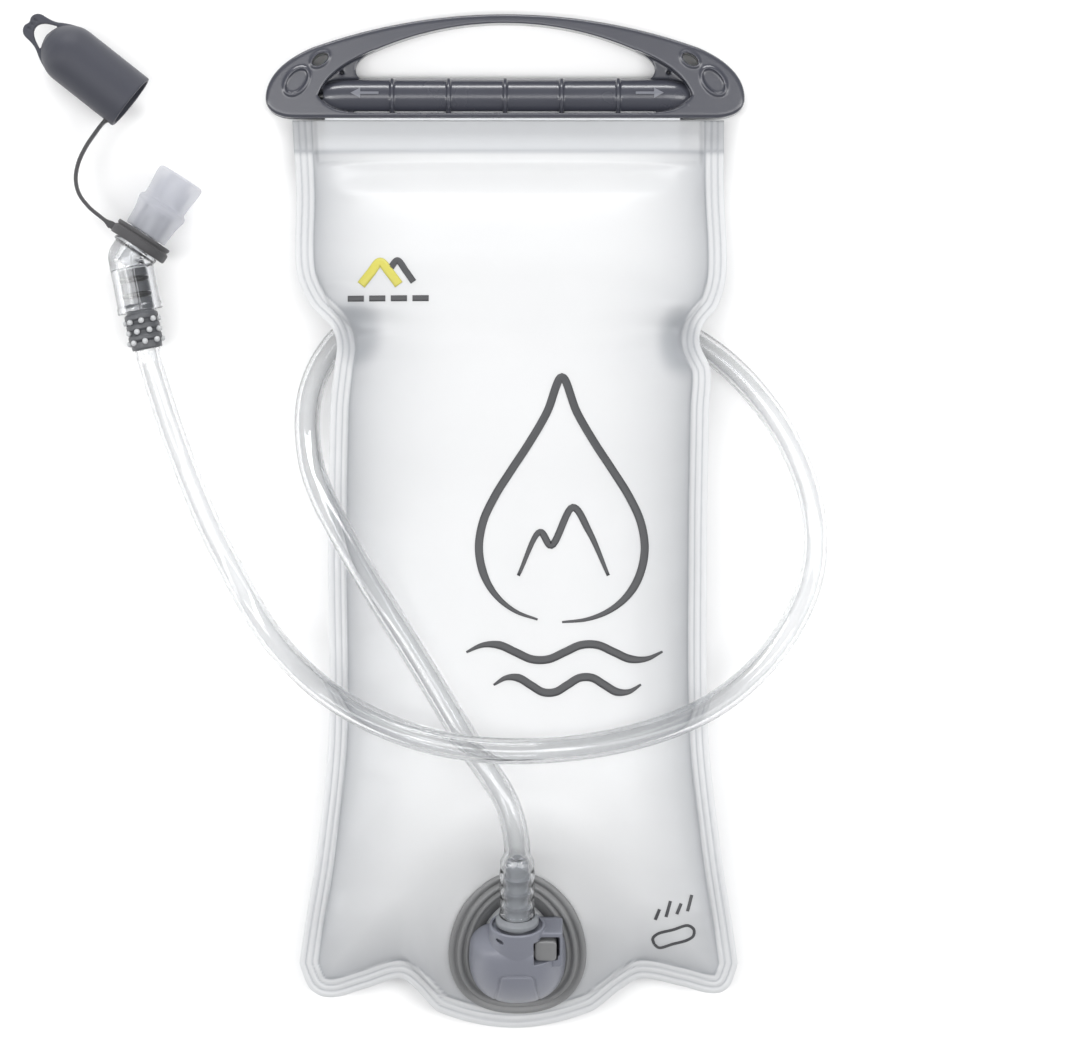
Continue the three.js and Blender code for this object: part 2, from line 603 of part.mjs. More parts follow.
function tubeAlong(curve, from, to, r) {
  const wall = new THREE.Shape();
  wall.absarc(0, 0, r, 0, 2 * Math.PI, false);
  const length = curve.getLength();
  const steps = Math.max(2, Math.round(((to - from) * length) / HOSE_STEP));
  const geometry = new THREE.ExtrudeGeometry(wall, {
    steps, curveSegments: HOSE_SIDES / 2, extrudePath: new Stretch(curve, from, to),
  });
  return solid(geometry);
}

const BLEND_SHARE = 0.035; // share of the tube's free length that moves with the plug

function drinkingTube() {
  const start = portToWorld(0, BARB_END_Y + GAP, AXIS_Z);
  const straight = portToWorld(0, BARB_END_Y + 4, AXIS_Z);
  const end = valveToWorld(0, -STEM_LENGTH - GAP, 0);
  const beforeEnd = valveToWorld(0, -STEM_LENGTH - 6, 0);
  const route = [start, straight, ...TUBE_ROUTE, beforeEnd, end];
  const curve = new THREE.CatmullRomCurve3(route, false, "centripetal");
  curve.arcLengthDivisions = 2000;
  const length = curve.getLength();
  const sleeve = turned([
    [0, BARB_END_Y + GAP], [5, BARB_END_Y + GAP], [5.5, 38], [5.5, 17.8], [SLEEVE_R, 17.8], [SLEEVE_R, 38],
    [HOSE_R, BARB_END_Y + 3], [0, BARB_END_Y + 3],
  ], V(0, 0, AXIS_Z), {}, 20);
  const run = tubeAlong(curve, 0, BLEND_SHARE, HOSE_R);
  add("hose_port_run", join(portTool(sleeve), run), "clear");
  add("hose_main", tubeAlong(curve, BLEND_SHARE + GAP / length, 1, HOSE_R), "clear");
}

// ---- bite valve ---------------------------------------------------------------------------------
function valveStem() {
  const profile = [[2.4, -STEM_LENGTH], [5.6, -STEM_LENGTH], [5.8, -STEM_LENGTH + 2.5]];
  for (const rib of [-9.4, -5.4, -1.6]) {
    profile.push([5.2, rib - 1.6], [6.4, rib - 1], [6.4, rib + 0.6], [5.4, rib + 1.2]);
  }
  profile.push([4.6, -GAP]);
  for (const groove of [5, 11]) {
    profile.push([4.6, groove], [3.7, groove], [3.7, groove + 2.2], [4.6, groove + 2.2]);
  }
  profile.push([4.6, 16], [2.4, 16]);
  add("valve_stem", turned(profile), "slate", valveFrame);
  add("stem_o_ring_lower", ring(4, 5.4, 5.3, 6.9), "seal", valveFrame);
  add("stem_o_ring_upper", ring(4, 5.4, 11.3, 12.9), "seal", valveFrame);
}

const NECK_TOP = 20;

function valveBody() {
  const elbow = V(0, ELBOW_Y, 0);
  const neck = { z: NECK_TURN };
  const lower = bar(BODY_R, 0, ELBOW_Y, V(0, 0, 0));
  const knuckle = placed(new THREE.SphereGeometry(BODY_R, 24, 12), elbow);
  const upper = bar(BODY_R, 0, RING_Y + 2.6, elbow, neck);
  const lip = bar(BODY_R + 0.9, RING_Y - 4.6, RING_Y - 3.2, elbow, neck);
  const spigot = bar(5.8, 0, NECK_TOP, elbow, neck);
  const barrel = bar(5.7, -1, 17, V(0, 0, 0));
  const passage = bar(3.4, -3, NECK_TOP + 1, elbow, neck);
  const core = bar(3.4, 15, ELBOW_Y, V(0, 0, 0));
  const elbowPipe = join(lower, knuckle, upper, lip, spigot);
  add("valve_body", cut(elbowPipe, barrel, passage, core), "clear", valveFrame);
}

function biteValve() {
  const base = RING_Y + 2.6 + GAP;
  const tip = RING_Y + 28;
  const mouthpiece = turned([
    [6.1, base], [8.3, base], [8.7, base + 7], [9.6, base + 10.5], [9.7, base + 12.5], [9, base + 14],
    [8.9, tip - 2], [8, tip], [0, tip - 1], [0, tip - 3], [6.4, tip - 3.6], [6.4, NECK_TOP + 2],
    [6.1, NECK_TOP],
  ]);
  const slit = block(V(-4.5, tip - 6, -0.2), V(4.5, tip + 1, 0.2));
  add("bite_valve", cut(mouthpiece, slit), "silicone", neckFrame);
}

function tetherRing() {
  const bandInner = BODY_R + GAP;
  add("tether_ring", turned([
    [bandInner, RING_Y - 3], [RING_R, RING_Y - 2.6], [RING_R, RING_Y + 0.4], [RING_R - 1.2, RING_Y + 1],
    [RING_R - 1.2, RING_Y + 2.4], [bandInner, RING_Y + 2.4],
  ]), "rubber", neckFrame);
}

// the strap in the plane of the table, from the ring to the cap's rim, in two halves about its bend
const STRAP_POINTS = [
  [-146.3, 109.9], [-150, 112.8], [-154.5, 116.6], [-158.2, 121.6], [-159.4, 127],
  [-158.4, 133], [-155.6, 139], [-152.2, 144], [-149.8, 147.2],
].map(([x, y]) => V(x, y, VALVE.z));
const STRAP_BEND = 4; // the point of the bend in STRAP_POINTS

function strap(from, to) {
  const curve = new THREE.CatmullRomCurve3(STRAP_POINTS);
  const count = STRAP_POINTS.length - 1;
  const sides = [1, -1].map((side) => {
    const edge = [];
    for (let i = 0; i <= 8; i++) {
      const t = mix(from, to, i / 8) / count;
      const tangent = curve.getTangent(t);
      const across = V(-tangent.y, tangent.x, 0).multiplyScalar((side * STRAP_THICK) / 2);
      edge.push(curve.getPoint(t).add(across));
    }
    return edge;
  });
  const outline = [...sides[1], ...sides[0].reverse()].map((p) => new THREE.Vector2(p.x, p.y));
  return plate(new THREE.Shape(outline), VALVE.z - STRAP_WIDE / 2, VALVE.z + STRAP_WIDE / 2);
}

function capStraps() {
  const gap = 0.06;
  add("tether_strap_ring_half", strap(0, STRAP_BEND - gap), "rubber");
  add("tether_strap_cap_half", strap(STRAP_BEND + gap, STRAP_POINTS.length - 1), "rubber");
}

function dustCap() {
  const shell = turned([
    [9.7, 0], [CAP_R, 0], [CAP_R, 30.4], [8.8, 34.6], [6.8, 37.4], [4, 39.4], [0, 40], [0, 38], [5, 36],
    [9.7, 30],
  ]);
  const loop = new THREE.Shape();
  loop.moveTo(-10.4, 31);
  loop.lineTo(10.4, 31);
  loop.bezierCurveTo(9, 38, 5.6, 41, 5, 45);
  loop.bezierCurveTo(4.6, 50.5, -4.6, 50.5, -5, 45);
  loop.bezierCurveTo(-5.6, 41, -9, 38, -10.4, 31);
  const tab = plate(loop, -1.4, 1.4, 6).subtract(bar(10, 20, 36));
  const hole = new THREE.Shape();
  hole.moveTo(-6.2, 37.6);
  hole.bezierCurveTo(-3.6, 39.6, -3.4, 41.8, -2.6, 43.2);
  hole.bezierCurveTo(-1.6, 44.2, 1.6, 44.2, 2.6, 43.2);
  hole.bezierCurveTo(3.4, 41.8, 3.6, 39.6, 6.2, 37.6);
  hole.bezierCurveTo(3, 40.6, -3, 40.6, -6.2, 37.6);
  add("dust_cap", cut(join(shell, tab), plate(hole, -3, 3, 6)), "rubber", capFrame);
}

// ---- assembly -----------------------------------------------------------------------------------
portFrame.position.set(PORT.x, PORT.y, PORT.z);
portFrame.rotation.x = radians(PORT.tilt);
valveFrame.position.set(VALVE.x, VALVE.y, VALVE.z);
valveFrame.rotation.z = radians(VALVE.turn);
neckFrame.position.set(0, ELBOW_Y, 0);
neckFrame.rotation.z = radians(NECK_TURN);
capFrame.position.set(CAP.x, CAP.y, VALVE.z);
capFrame.rotation.z = radians(CAP.turn);

filmPanels();
add("front_seal_rail", sealRail(1), "rail");
add("back_seal_rail", sealRail(-1), "rail");
sliderHandle();
portFlange();
portHousing();
portInside();
releaseButton();
hosePlug();
drinkingTube();
valveStem();
valveBody();
biteValve();
tetherRing();
capStraps();
dustCap();

export default parts;
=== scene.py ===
"""Hydration bladder lying on a pale floor, seen from straight above.

The film, the tube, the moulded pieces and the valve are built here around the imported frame, in metres.
"""
import json
import math

import bmesh
import bpy
import numpy as np
from mathutils import Matrix, Vector, noise
from mathutils.bvhtree import BVHTree


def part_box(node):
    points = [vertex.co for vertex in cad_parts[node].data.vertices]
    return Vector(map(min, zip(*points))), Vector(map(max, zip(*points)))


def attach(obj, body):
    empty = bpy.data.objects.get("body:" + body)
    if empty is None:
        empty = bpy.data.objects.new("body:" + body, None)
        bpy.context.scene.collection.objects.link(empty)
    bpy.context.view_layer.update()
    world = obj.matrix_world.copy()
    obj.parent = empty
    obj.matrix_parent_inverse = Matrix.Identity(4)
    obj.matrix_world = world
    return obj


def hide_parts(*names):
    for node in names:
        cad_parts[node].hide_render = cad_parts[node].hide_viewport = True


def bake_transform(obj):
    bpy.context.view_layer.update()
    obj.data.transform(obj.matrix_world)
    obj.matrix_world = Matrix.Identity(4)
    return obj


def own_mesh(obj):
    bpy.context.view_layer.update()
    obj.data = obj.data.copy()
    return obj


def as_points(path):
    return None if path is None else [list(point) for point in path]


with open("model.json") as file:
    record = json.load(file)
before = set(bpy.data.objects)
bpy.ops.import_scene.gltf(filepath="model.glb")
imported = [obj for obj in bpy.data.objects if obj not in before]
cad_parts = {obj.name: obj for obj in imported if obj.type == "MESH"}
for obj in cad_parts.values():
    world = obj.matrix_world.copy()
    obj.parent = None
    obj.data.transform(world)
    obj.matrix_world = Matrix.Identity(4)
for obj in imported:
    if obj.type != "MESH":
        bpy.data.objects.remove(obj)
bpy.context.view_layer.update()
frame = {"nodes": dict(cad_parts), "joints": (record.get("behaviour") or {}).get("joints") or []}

MM = 0.001
AXIS_NEAR = 1e-7
JOINTS = {joint["name"]: joint for joint in frame["joints"]}


# ---- places taken from the frame ----------------------------------------------------------------
def corners(node):
    return np.array([v.co[:] for v in frame["nodes"][node].data.vertices])


def middle(node):
    """The mean of a node's corners, which for a turned piece lies on its axis."""
    return Vector(corners(node).mean(axis=0))


def facing(y_axis, z_axis, origin):
    """A frame with its Y and Z along the given directions."""
    x_axis = Vector(y_axis).cross(Vector(z_axis))
    turn = Matrix((x_axis, Vector(y_axis), Vector(z_axis))).transposed().to_4x4()
    return Matrix.Translation(origin) @ turn


def reach(node, matrix, axis=1):
    """How far a node reaches, low and high, along one axis of a frame."""
    inverse = np.array(matrix.inverted())
    local = corners(node) @ inverse[:3, :3].T + inverse[:3, 3]
    return float(local[:, axis].min()), float(local[:, axis].max())


PLUG_AXIS = Vector(JOINTS["plug_pull"]["axis"]).normalized()
PORT_UP = -Vector(JOINTS["button_press"]["axis"]).normalized()
AXIS_Z = 12.5 * MM
O_RING_Y = 8.7 * MM
PORT = facing(PLUG_AXIS, PORT_UP, middle("plug_o_ring") - PLUG_AXIS * O_RING_Y - PORT_UP * AXIS_Z)
PLUG_LINE = PORT @ Matrix.Translation((0, 0, AXIS_Z))
STEM_AXIS = -Vector(JOINTS["shutoff_turn"]["axis"]).normalized()
NECK_AXIS = Vector(JOINTS["tether_ring_turn"]["axis"]).normalized()
VALVE = facing(STEM_AXIS, Vector((0, 0, 1)), Vector(JOINTS["shutoff_turn"]["pos_m"]))
NECK = facing(NECK_AXIS, Vector((0, 0, 1)), Vector(JOINTS["tether_ring_turn"]["pos_m"]))
STRAP_BEND = Vector(JOINTS["cap_swing"]["pos_m"])
CAP_TURN = math.radians(51.7)
CAP_MOUTH = (-138.9 * MM, 155.4 * MM)
CAP = facing((-math.sin(CAP_TURN), math.cos(CAP_TURN), 0), (0, 0, 1), (*CAP_MOUTH, STRAP_BEND.z))


# ---- camera, floor and light --------------------------------------------------------------------
VIEW_WIDTH = 0.3996
VIEW_CENTRE = (0.01295, -0.0035)
CAMERA_HEIGHT = 2.4
SENSOR = 36


def camera():
    data = bpy.data.cameras.new("camera")
    data.sensor_width = SENSOR
    data.lens = SENSOR * CAMERA_HEIGHT / VIEW_WIDTH
    data.clip_end = 20
    piece = bpy.data.objects.new("camera", data)
    piece.location = (*VIEW_CENTRE, CAMERA_HEIGHT + 0.02)
    bpy.context.scene.collection.objects.link(piece)
    bpy.context.scene.camera = piece


def area_light(name, location, size, power, colour=(1, 1, 1), aim=(0, 0, 0)):
    data = bpy.data.lights.new(name, "AREA")
    data.shape = "RECTANGLE"
    data.size, data.size_y = size
    data.energy = power
    data.color = colour
    piece = bpy.data.objects.new(name, data)
    piece.location = location
    direction = Vector(aim) - Vector(location)
    piece.rotation_euler = direction.to_track_quat("-Z", "Y").to_euler()
    bpy.context.scene.collection.objects.link(piece)


def studio():
    scene = bpy.context.scene
    scene.view_settings.view_transform = "Standard"
    world = bpy.data.worlds.new("studio")
    scene.world = world
    world.use_nodes = True
    nodes, links = world.node_tree.nodes, world.node_tree.links
    coordinates = nodes.new("ShaderNodeTexCoord")
    split = nodes.new("ShaderNodeSeparateXYZ")
    ramp = nodes.new("ShaderNodeValToRGB")
    ramp.color_ramp.elements[0].color = (0.45, 0.46, 0.48, 1)
    ramp.color_ramp.elements[1].color = (1, 1, 1, 1)
    ramp.color_ramp.elements[1].position = 0.75
    links.new(coordinates.outputs["Generated"], split.inputs[0])
    links.new(split.outputs["Z"], ramp.inputs[0])
    background = nodes["Background"]
    background.inputs["Strength"].default_value = 0.42
    links.new(ramp.outputs[0], background.inputs["Color"])
    area_light("key", (-0.2, 2.3, 1.0), (2.2, 0.5), 46)
    for side, name in ((-1, "overhead_left"), (1, "overhead_right")):
        area_light(name, (0.05 + side * 0.9, -0.15, 2.1), (0.8, 1.8), 18)
    area_light("left_strip", (-1.2, -0.1, 0.7), (0.2, 1.5), 6)
    area_light("right_fill", (1.2, -0.2, 0.8), (0.6, 1.5), 7)

    floor = grid_piece("floor", [[(x, y, 0) for x in (-4, 4)] for y in (-4, 4)])
    floor.location.z = -0.0004
    finish = new_material("pale_floor")
    shade(finish, base=(0.93, 0.93, 0.93), roughness=0.6)
    floor.data.materials.append(finish)


# ---- mesh helpers -------------------------------------------------------------------------------
def piece_of(name, points, faces, smooth=True):
    mesh = bpy.data.meshes.new(name)
    mesh.from_pydata([tuple(p) for p in points], [], faces)
    mesh.validate()
    if smooth:
        mesh.shade_smooth()
    piece = bpy.data.objects.new(name, mesh)
    bpy.context.scene.collection.objects.link(piece)
    return piece


def quads(rows, columns, offset=0, flip=False, wrap=False):
    """Faces of a grid of points, wrapped round its columns if asked."""
    faces = []
    for r in range(rows - 1):
        for c in range(columns if wrap else columns - 1):
            d = (c + 1) % columns
            face = (r * columns + c, r * columns + d, (r + 1) * columns + d, (r + 1) * columns + c)
            faces.append(tuple(offset + i for i in (reversed(face) if flip else face)))
    return faces


def grid_piece(name, rows):
    points = [p for row in rows for p in row]
    return piece_of(name, points, quads(len(rows), len(rows[0])))


def shell(name, outer, inner):
    """A closed shell between two grids of points, each an array of rows, columns and XYZ."""
    rows, columns = outer.shape[:2]
    count = rows * columns
    points = np.concatenate([outer.reshape(-1, 3), inner.reshape(-1, 3)])
    faces = quads(rows, columns) + quads(rows, columns, count, flip=True)
    rim = [(0, c) for c in range(columns)]
    rim += [(r, columns - 1) for r in range(1, rows)]
    rim += [(rows - 1, c) for c in range(columns - 2, -1, -1)]
    rim += [(r, 0) for r in range(rows - 2, 0, -1)]
    index = [r * columns + c for r, c in rim]
    for a, b in zip(index, index[1:] + index[:1]):
        faces.append((b, a, a + count, b + count))
    return piece_of(name, points, faces)


def fillet(profile, radius, steps=4, closed=True):
    """A profile with its corners rounded, each as far as its shorter side allows."""
    points = [Vector(p) for p in profile]
    count = len(points)
    rounded = []
    for i, corner in enumerate(points):
        if not closed and i in (0, count - 1):
            rounded.append(corner)
            continue
        before = points[i - 1] - corner
        after = points[(i + 1) % count] - corner
        cut = min(radius, before.length * 0.45, after.length * 0.45)
        start = corner + before.normalized() * cut
        end = corner + after.normalized() * cut
        for k in range(steps + 1):
            t = k / steps
            rounded.append(start * (1 - t) ** 2 + corner * 2 * t * (1 - t) + end * t ** 2)
    return rounded


def lathe(name, profile, matrix, radius=0.3 * MM, sides=96, steps=4):
    """A solid of revolution about a frame's Y. The profile is [radius, y], and runs out from the axis
    and back to it, or closes on itself."""
    closed = min(profile[0][0], profile[-1][0]) > AXIS_NEAR
    section = fillet(profile, radius, steps, closed) if radius else profile
    angles = np.arange(sides) * 2 * math.pi / sides
    points, rings = [], []
    for r, y in section:
        if r < AXIS_NEAR:
            rings.append([len(points)] * sides)
            points.append((0, y, 0))
        else:
            rings.append(range(len(points), len(points) + sides))
            points += [(r * math.cos(a), y, r * math.sin(a)) for a in angles]
    faces = []
    pairs = zip(rings, rings[1:] + rings[:1]) if closed else zip(rings, rings[1:])
    for low, high in pairs:
        for c in range(sides):
            d = (c + 1) % sides
            corners_of_face = list(dict.fromkeys((low[c], low[d], high[d], high[c])))
            if len(corners_of_face) > 2:
                faces.append(tuple(corners_of_face))
    world = np.array(matrix)
    points = np.array(points) @ world[:3, :3].T + world[:3, 3]
    piece = piece_of(name, points, faces)
    tidy_mesh(piece)
    return piece


def tidy_mesh(piece, distance=1e-6):
    """Merges points that coincide, such as those of a ring drawn on its axis, and turns faces outwards."""
    work = bmesh.new()
    work.from_mesh(piece.data)
    bmesh.ops.remove_doubles(work, verts=work.verts, dist=distance)
    bmesh.ops.recalc_face_normals(work, faces=work.faces)
    work.to_mesh(piece.data)
    work.free()
    piece.data.shade_smooth()


def prism(name, outline, low, high, matrix=None, bevel=0.0, steps=4):
    """A closed prism of an outline in a frame's XY, with its edges rounded inwards by bevel."""
    flat = np.array([(p[0], p[1]) for p in outline])
    if signed_area(flat) < 0:
        flat = flat[::-1]
    levels = []
    for k in range(steps + 1):
        angle = k / steps * math.pi / 2
        levels.append((bevel * (1 - math.sin(angle)), low + bevel * (1 - math.cos(angle))))
    if not bevel:
        levels = [(0, low)]
    top = [(inset, high - (z - low)) for inset, z in reversed(levels)]
    rings = []
    for inset, z in levels + top:
        ring = inset_outline(flat, inset)
        rings.append(np.column_stack([ring, np.full(len(ring), z)]))
    count = len(flat)
    points = np.concatenate(rings)
    faces = quads(len(rings), count, wrap=True)
    last = (len(rings) - 1) * count
    faces.append(tuple(range(count))[::-1])
    faces.append(tuple(range(last, last + count)))
    if matrix is not None:
        world = np.array(matrix)
        points = points @ world[:3, :3].T + world[:3, 3]
    piece = piece_of(name, points, faces, smooth=False)
    return piece


def signed_area(flat):
    x, y = flat[:, 0], flat[:, 1]
    return 0.5 * float(np.sum(x * np.roll(y, -1) - np.roll(x, -1) * y))


def inset_outline(flat, distance):
    """An anticlockwise outline moved inwards along its corner normals."""
    if not distance:
        return flat
    ahead = np.roll(flat, -1, axis=0) - flat
    ahead /= np.maximum(np.linalg.norm(ahead, axis=1, keepdims=True), 1e-12)
    behind = np.roll(ahead, 1, axis=0)
    tangent = ahead + behind
    tangent /= np.maximum(np.linalg.norm(tangent, axis=1, keepdims=True), 1e-12)
    inward = np.column_stack([-tangent[:, 1], tangent[:, 0]])
    return flat + inward * distance


def bezier(a, b, c, d, steps=16):
    """Points of a cubic curve, without its last one."""
    t = np.linspace(0, 1, steps, endpoint=False)[:, None]
    a, b, c, d = (np.array(p, float) for p in (a, b, c, d))
    points = a * (1 - t) ** 3 + 3 * b * t * (1 - t) ** 2 + 3 * c * t ** 2 * (1 - t) + d * t ** 3
    return [tuple(p) for p in points]


def arc(centre, radius, start, end, steps=24):
    """Points of a circle's arc between two angles in degrees, without its last one."""
    angles = np.radians(np.linspace(start, end, steps, endpoint=False))
    return [(centre[0] + radius * math.cos(a), centre[1] + radius * math.sin(a)) for a in angles]


def combine(base, tool, operation="DIFFERENCE"):
    """Cuts or joins the second piece into the first and removes it."""
    change = base.modifiers.new("combine", "BOOLEAN")
    change.operation = operation
    change.solver = "EXACT"
    change.object = tool
    apply_changes(base)
    bpy.data.objects.remove(tool)
    return base


def apply_changes(piece):
    """Leaves the piece's mesh as its modifiers make it, with no modifier."""
    bpy.context.view_layer.update()
    view = bpy.context.evaluated_depsgraph_get()
    mesh = bpy.data.meshes.new_from_object(piece.evaluated_get(view))
    piece.modifiers.clear()
    piece.data = mesh


def moulded(pieces, tools, cell, rounds=4, factor=0.5):
    """One moulding from overlapping solids: every tool is cut out of each, and remeshing in cells then
    melts them together and rounds the edges as a mould does."""
    for base in pieces:
        for tool in tools:
            change = base.modifiers.new("cut", "BOOLEAN")
            change.operation = "DIFFERENCE"
            change.solver = "EXACT"
            change.object = tool
        apply_changes(base)
    for tool in tools:
        bpy.data.objects.remove(tool)
    piece = pieces[0]
    for other in pieces[1:]:
        joined(piece, other)
    change = piece.modifiers.new("remesh", "REMESH")
    change.mode = "VOXEL"
    change.voxel_size = cell
    change.use_smooth_shade = True
    smooth = piece.modifiers.new("smooth", "SMOOTH")
    smooth.factor = factor
    smooth.iterations = rounds
    apply_changes(piece)
    piece.data.shade_smooth()
    return piece


def joined(first, second):
    """Adds the second piece's mesh to the first and removes the second."""
    work = bmesh.new()
    work.from_mesh(first.data)
    work.from_mesh(second.data)
    work.to_mesh(first.data)
    work.free()
    first.data.shade_smooth()
    bpy.data.objects.remove(second)
    return first


def smooth_through(knots):
    """The cubic curve through [x, y] knots, as a function of an array of x."""
    x, y = np.array(knots, float).T
    index = np.arange(len(x))
    before, after = np.maximum(index - 1, 0), np.minimum(index + 1, len(x) - 1)
    slope = (y[after] - y[before]) / (x[after] - x[before])

    def curve(at):
        i = np.clip(np.searchsorted(x, at, side="right") - 1, 0, len(x) - 2)
        span = x[i + 1] - x[i]
        t = np.clip((at - x[i]) / span, 0, 1)
        s = 1 - t
        line = y[i] * s * s * (1 + 2 * t) + y[i + 1] * t * t * (3 - 2 * t)
        return line + span * t * s * (slope[i] * s - slope[i + 1] * t)

    return curve


def smoothstep(x, low, high):
    t = np.clip((x - low) / (high - low), 0, 1)
    return t * t * (3 - 2 * t)


def place(piece, body, slot, finish, *replaced):
    """Gives a piece its material and its body, in place of its CAD nodes."""
    piece.data.materials.clear()
    piece.data.materials.append(finish)
    if body:
        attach(piece, body)
    if replaced:
        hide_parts(*replaced)
    return piece


# ---- materials ----------------------------------------------------------------------------------
def new_material(name):
    material = bpy.data.materials.new(name)
    material.use_nodes = True
    return material


def shade(material, base, roughness, **sockets):
    """Sets constants on the material's Principled node."""
    node = material.node_tree.nodes["Principled BSDF"]
    node.inputs["Base Color"].default_value = (*base, 1)
    node.inputs["Roughness"].default_value = roughness
    for name, value in sockets.items():
        node.inputs[name.replace("_", " ")].default_value = value
    return node


def add_node(material, kind, **values):
    node = material.node_tree.nodes.new(kind)
    for name, value in values.items():
        if name in node.inputs:
            node.inputs[name].default_value = value
        else:
            setattr(node, name, value)
    return node


def grain(material, principled, scale, depth, colour_change=0.0, rough_change=0.0, base=None, detail=3):
    """Moulded grain: fine bump, with the colour and roughness varying a little over the surface."""
    link = material.node_tree.links.new
    place_node = add_node(material, "ShaderNodeTexCoord")
    fine = add_node(material, "ShaderNodeTexNoise", Scale=scale, Detail=detail)
    broad = add_node(material, "ShaderNodeTexNoise", Scale=scale / 60, Detail=4)
    bump = add_node(material, "ShaderNodeBump", Strength=1.0, Distance=depth)
    link(place_node.outputs["Object"], fine.inputs["Vector"])
    link(place_node.outputs["Object"], broad.inputs["Vector"])
    link(fine.outputs["Fac"], bump.inputs["Height"])
    link(bump.outputs["Normal"], principled.inputs["Normal"])
    if colour_change:
        tint = add_node(material, "ShaderNodeMix", data_type="RGBA")
        tint.inputs["A"].default_value = (*[c * (1 - colour_change) for c in base], 1)
        tint.inputs["B"].default_value = (*[c * (1 + colour_change) for c in base], 1)
        link(broad.outputs["Fac"], tint.inputs["Factor"])
        link(tint.outputs["Result"], principled.inputs["Base Color"])
    if rough_change:
        value = principled.inputs["Roughness"].default_value
        spread = add_node(material, "ShaderNodeMapRange")
        spread.inputs["To Min"].default_value = value - rough_change
        spread.inputs["To Max"].default_value = value + rough_change
        link(broad.outputs["Fac"], spread.inputs["Value"])
        link(spread.outputs["Result"], principled.inputs["Roughness"])


def moulded_plastic(name, base, roughness, grain_depth=0.03 * MM, scale=2600, coat=0.0):
    material = new_material(name)
    node = shade(material, base, roughness, Specular_IOR_Level=0.45, Coat_Weight=coat, Coat_Roughness=0.14)
    grain(material, node, scale, grain_depth, 0.06, 0.05, base)
    return material


def soft_rubber(name, base, roughness=0.62):
    material = new_material(name)
    node = shade(material, base, roughness, Specular_IOR_Level=0.35, Sheen_Weight=0.12, Sheen_Roughness=0.5)
    grain(material, node, 1800, 0.035 * MM, 0.08, 0.06, base)
    return material


def clear_plastic(name, tint, painted_edge_shade, roughness, ior, lamp_share=0.8):
    """Clear plastic that lets lamp light through to what it covers. Its colour is greyer where it is seen
    edge on:
    partly painted shade for the darker surroundings refracted at its edges, partly the plastic's own
    absorption along the longer path through the wall.
    """
    material = new_material(name)
    tree = material.node_tree
    node = shade(material, tint, roughness, Transmission_Weight=1.0, IOR=ior)
    grain(material, node, 120, 0.004 * MM, detail=1)
    # painted shade: the colour greys towards the edge colour where the plastic is seen edge on
    facing_share = add_node(material, "ShaderNodeLayerWeight", Blend=0.35)
    edge_shaded_colour = add_node(material, "ShaderNodeMix", data_type="RGBA")
    edge_shaded_colour.inputs["A"].default_value = (*tint, 1)
    edge_shaded_colour.inputs["B"].default_value = (*painted_edge_shade, 1)
    tree.links.new(facing_share.outputs["Facing"], edge_shaded_colour.inputs["Factor"])
    tree.links.new(edge_shaded_colour.outputs["Result"], node.inputs["Base Color"])
    path = add_node(material, "ShaderNodeLightPath")
    share = add_node(material, "ShaderNodeMath", operation="MULTIPLY")
    share.inputs[1].default_value = lamp_share
    through = add_node(material, "ShaderNodeBsdfTransparent")
    mixed = add_node(material, "ShaderNodeMixShader")
    tree.links.new(path.outputs["Is Shadow Ray"], share.inputs[0])
    tree.links.new(share.outputs[0], mixed.inputs["Fac"])
    tree.links.new(node.outputs[0], mixed.inputs[1])
    tree.links.new(through.outputs[0], mixed.inputs[2])
    tree.links.new(mixed.outputs[0], tree.nodes["Material Output"].inputs["Surface"])
    return material


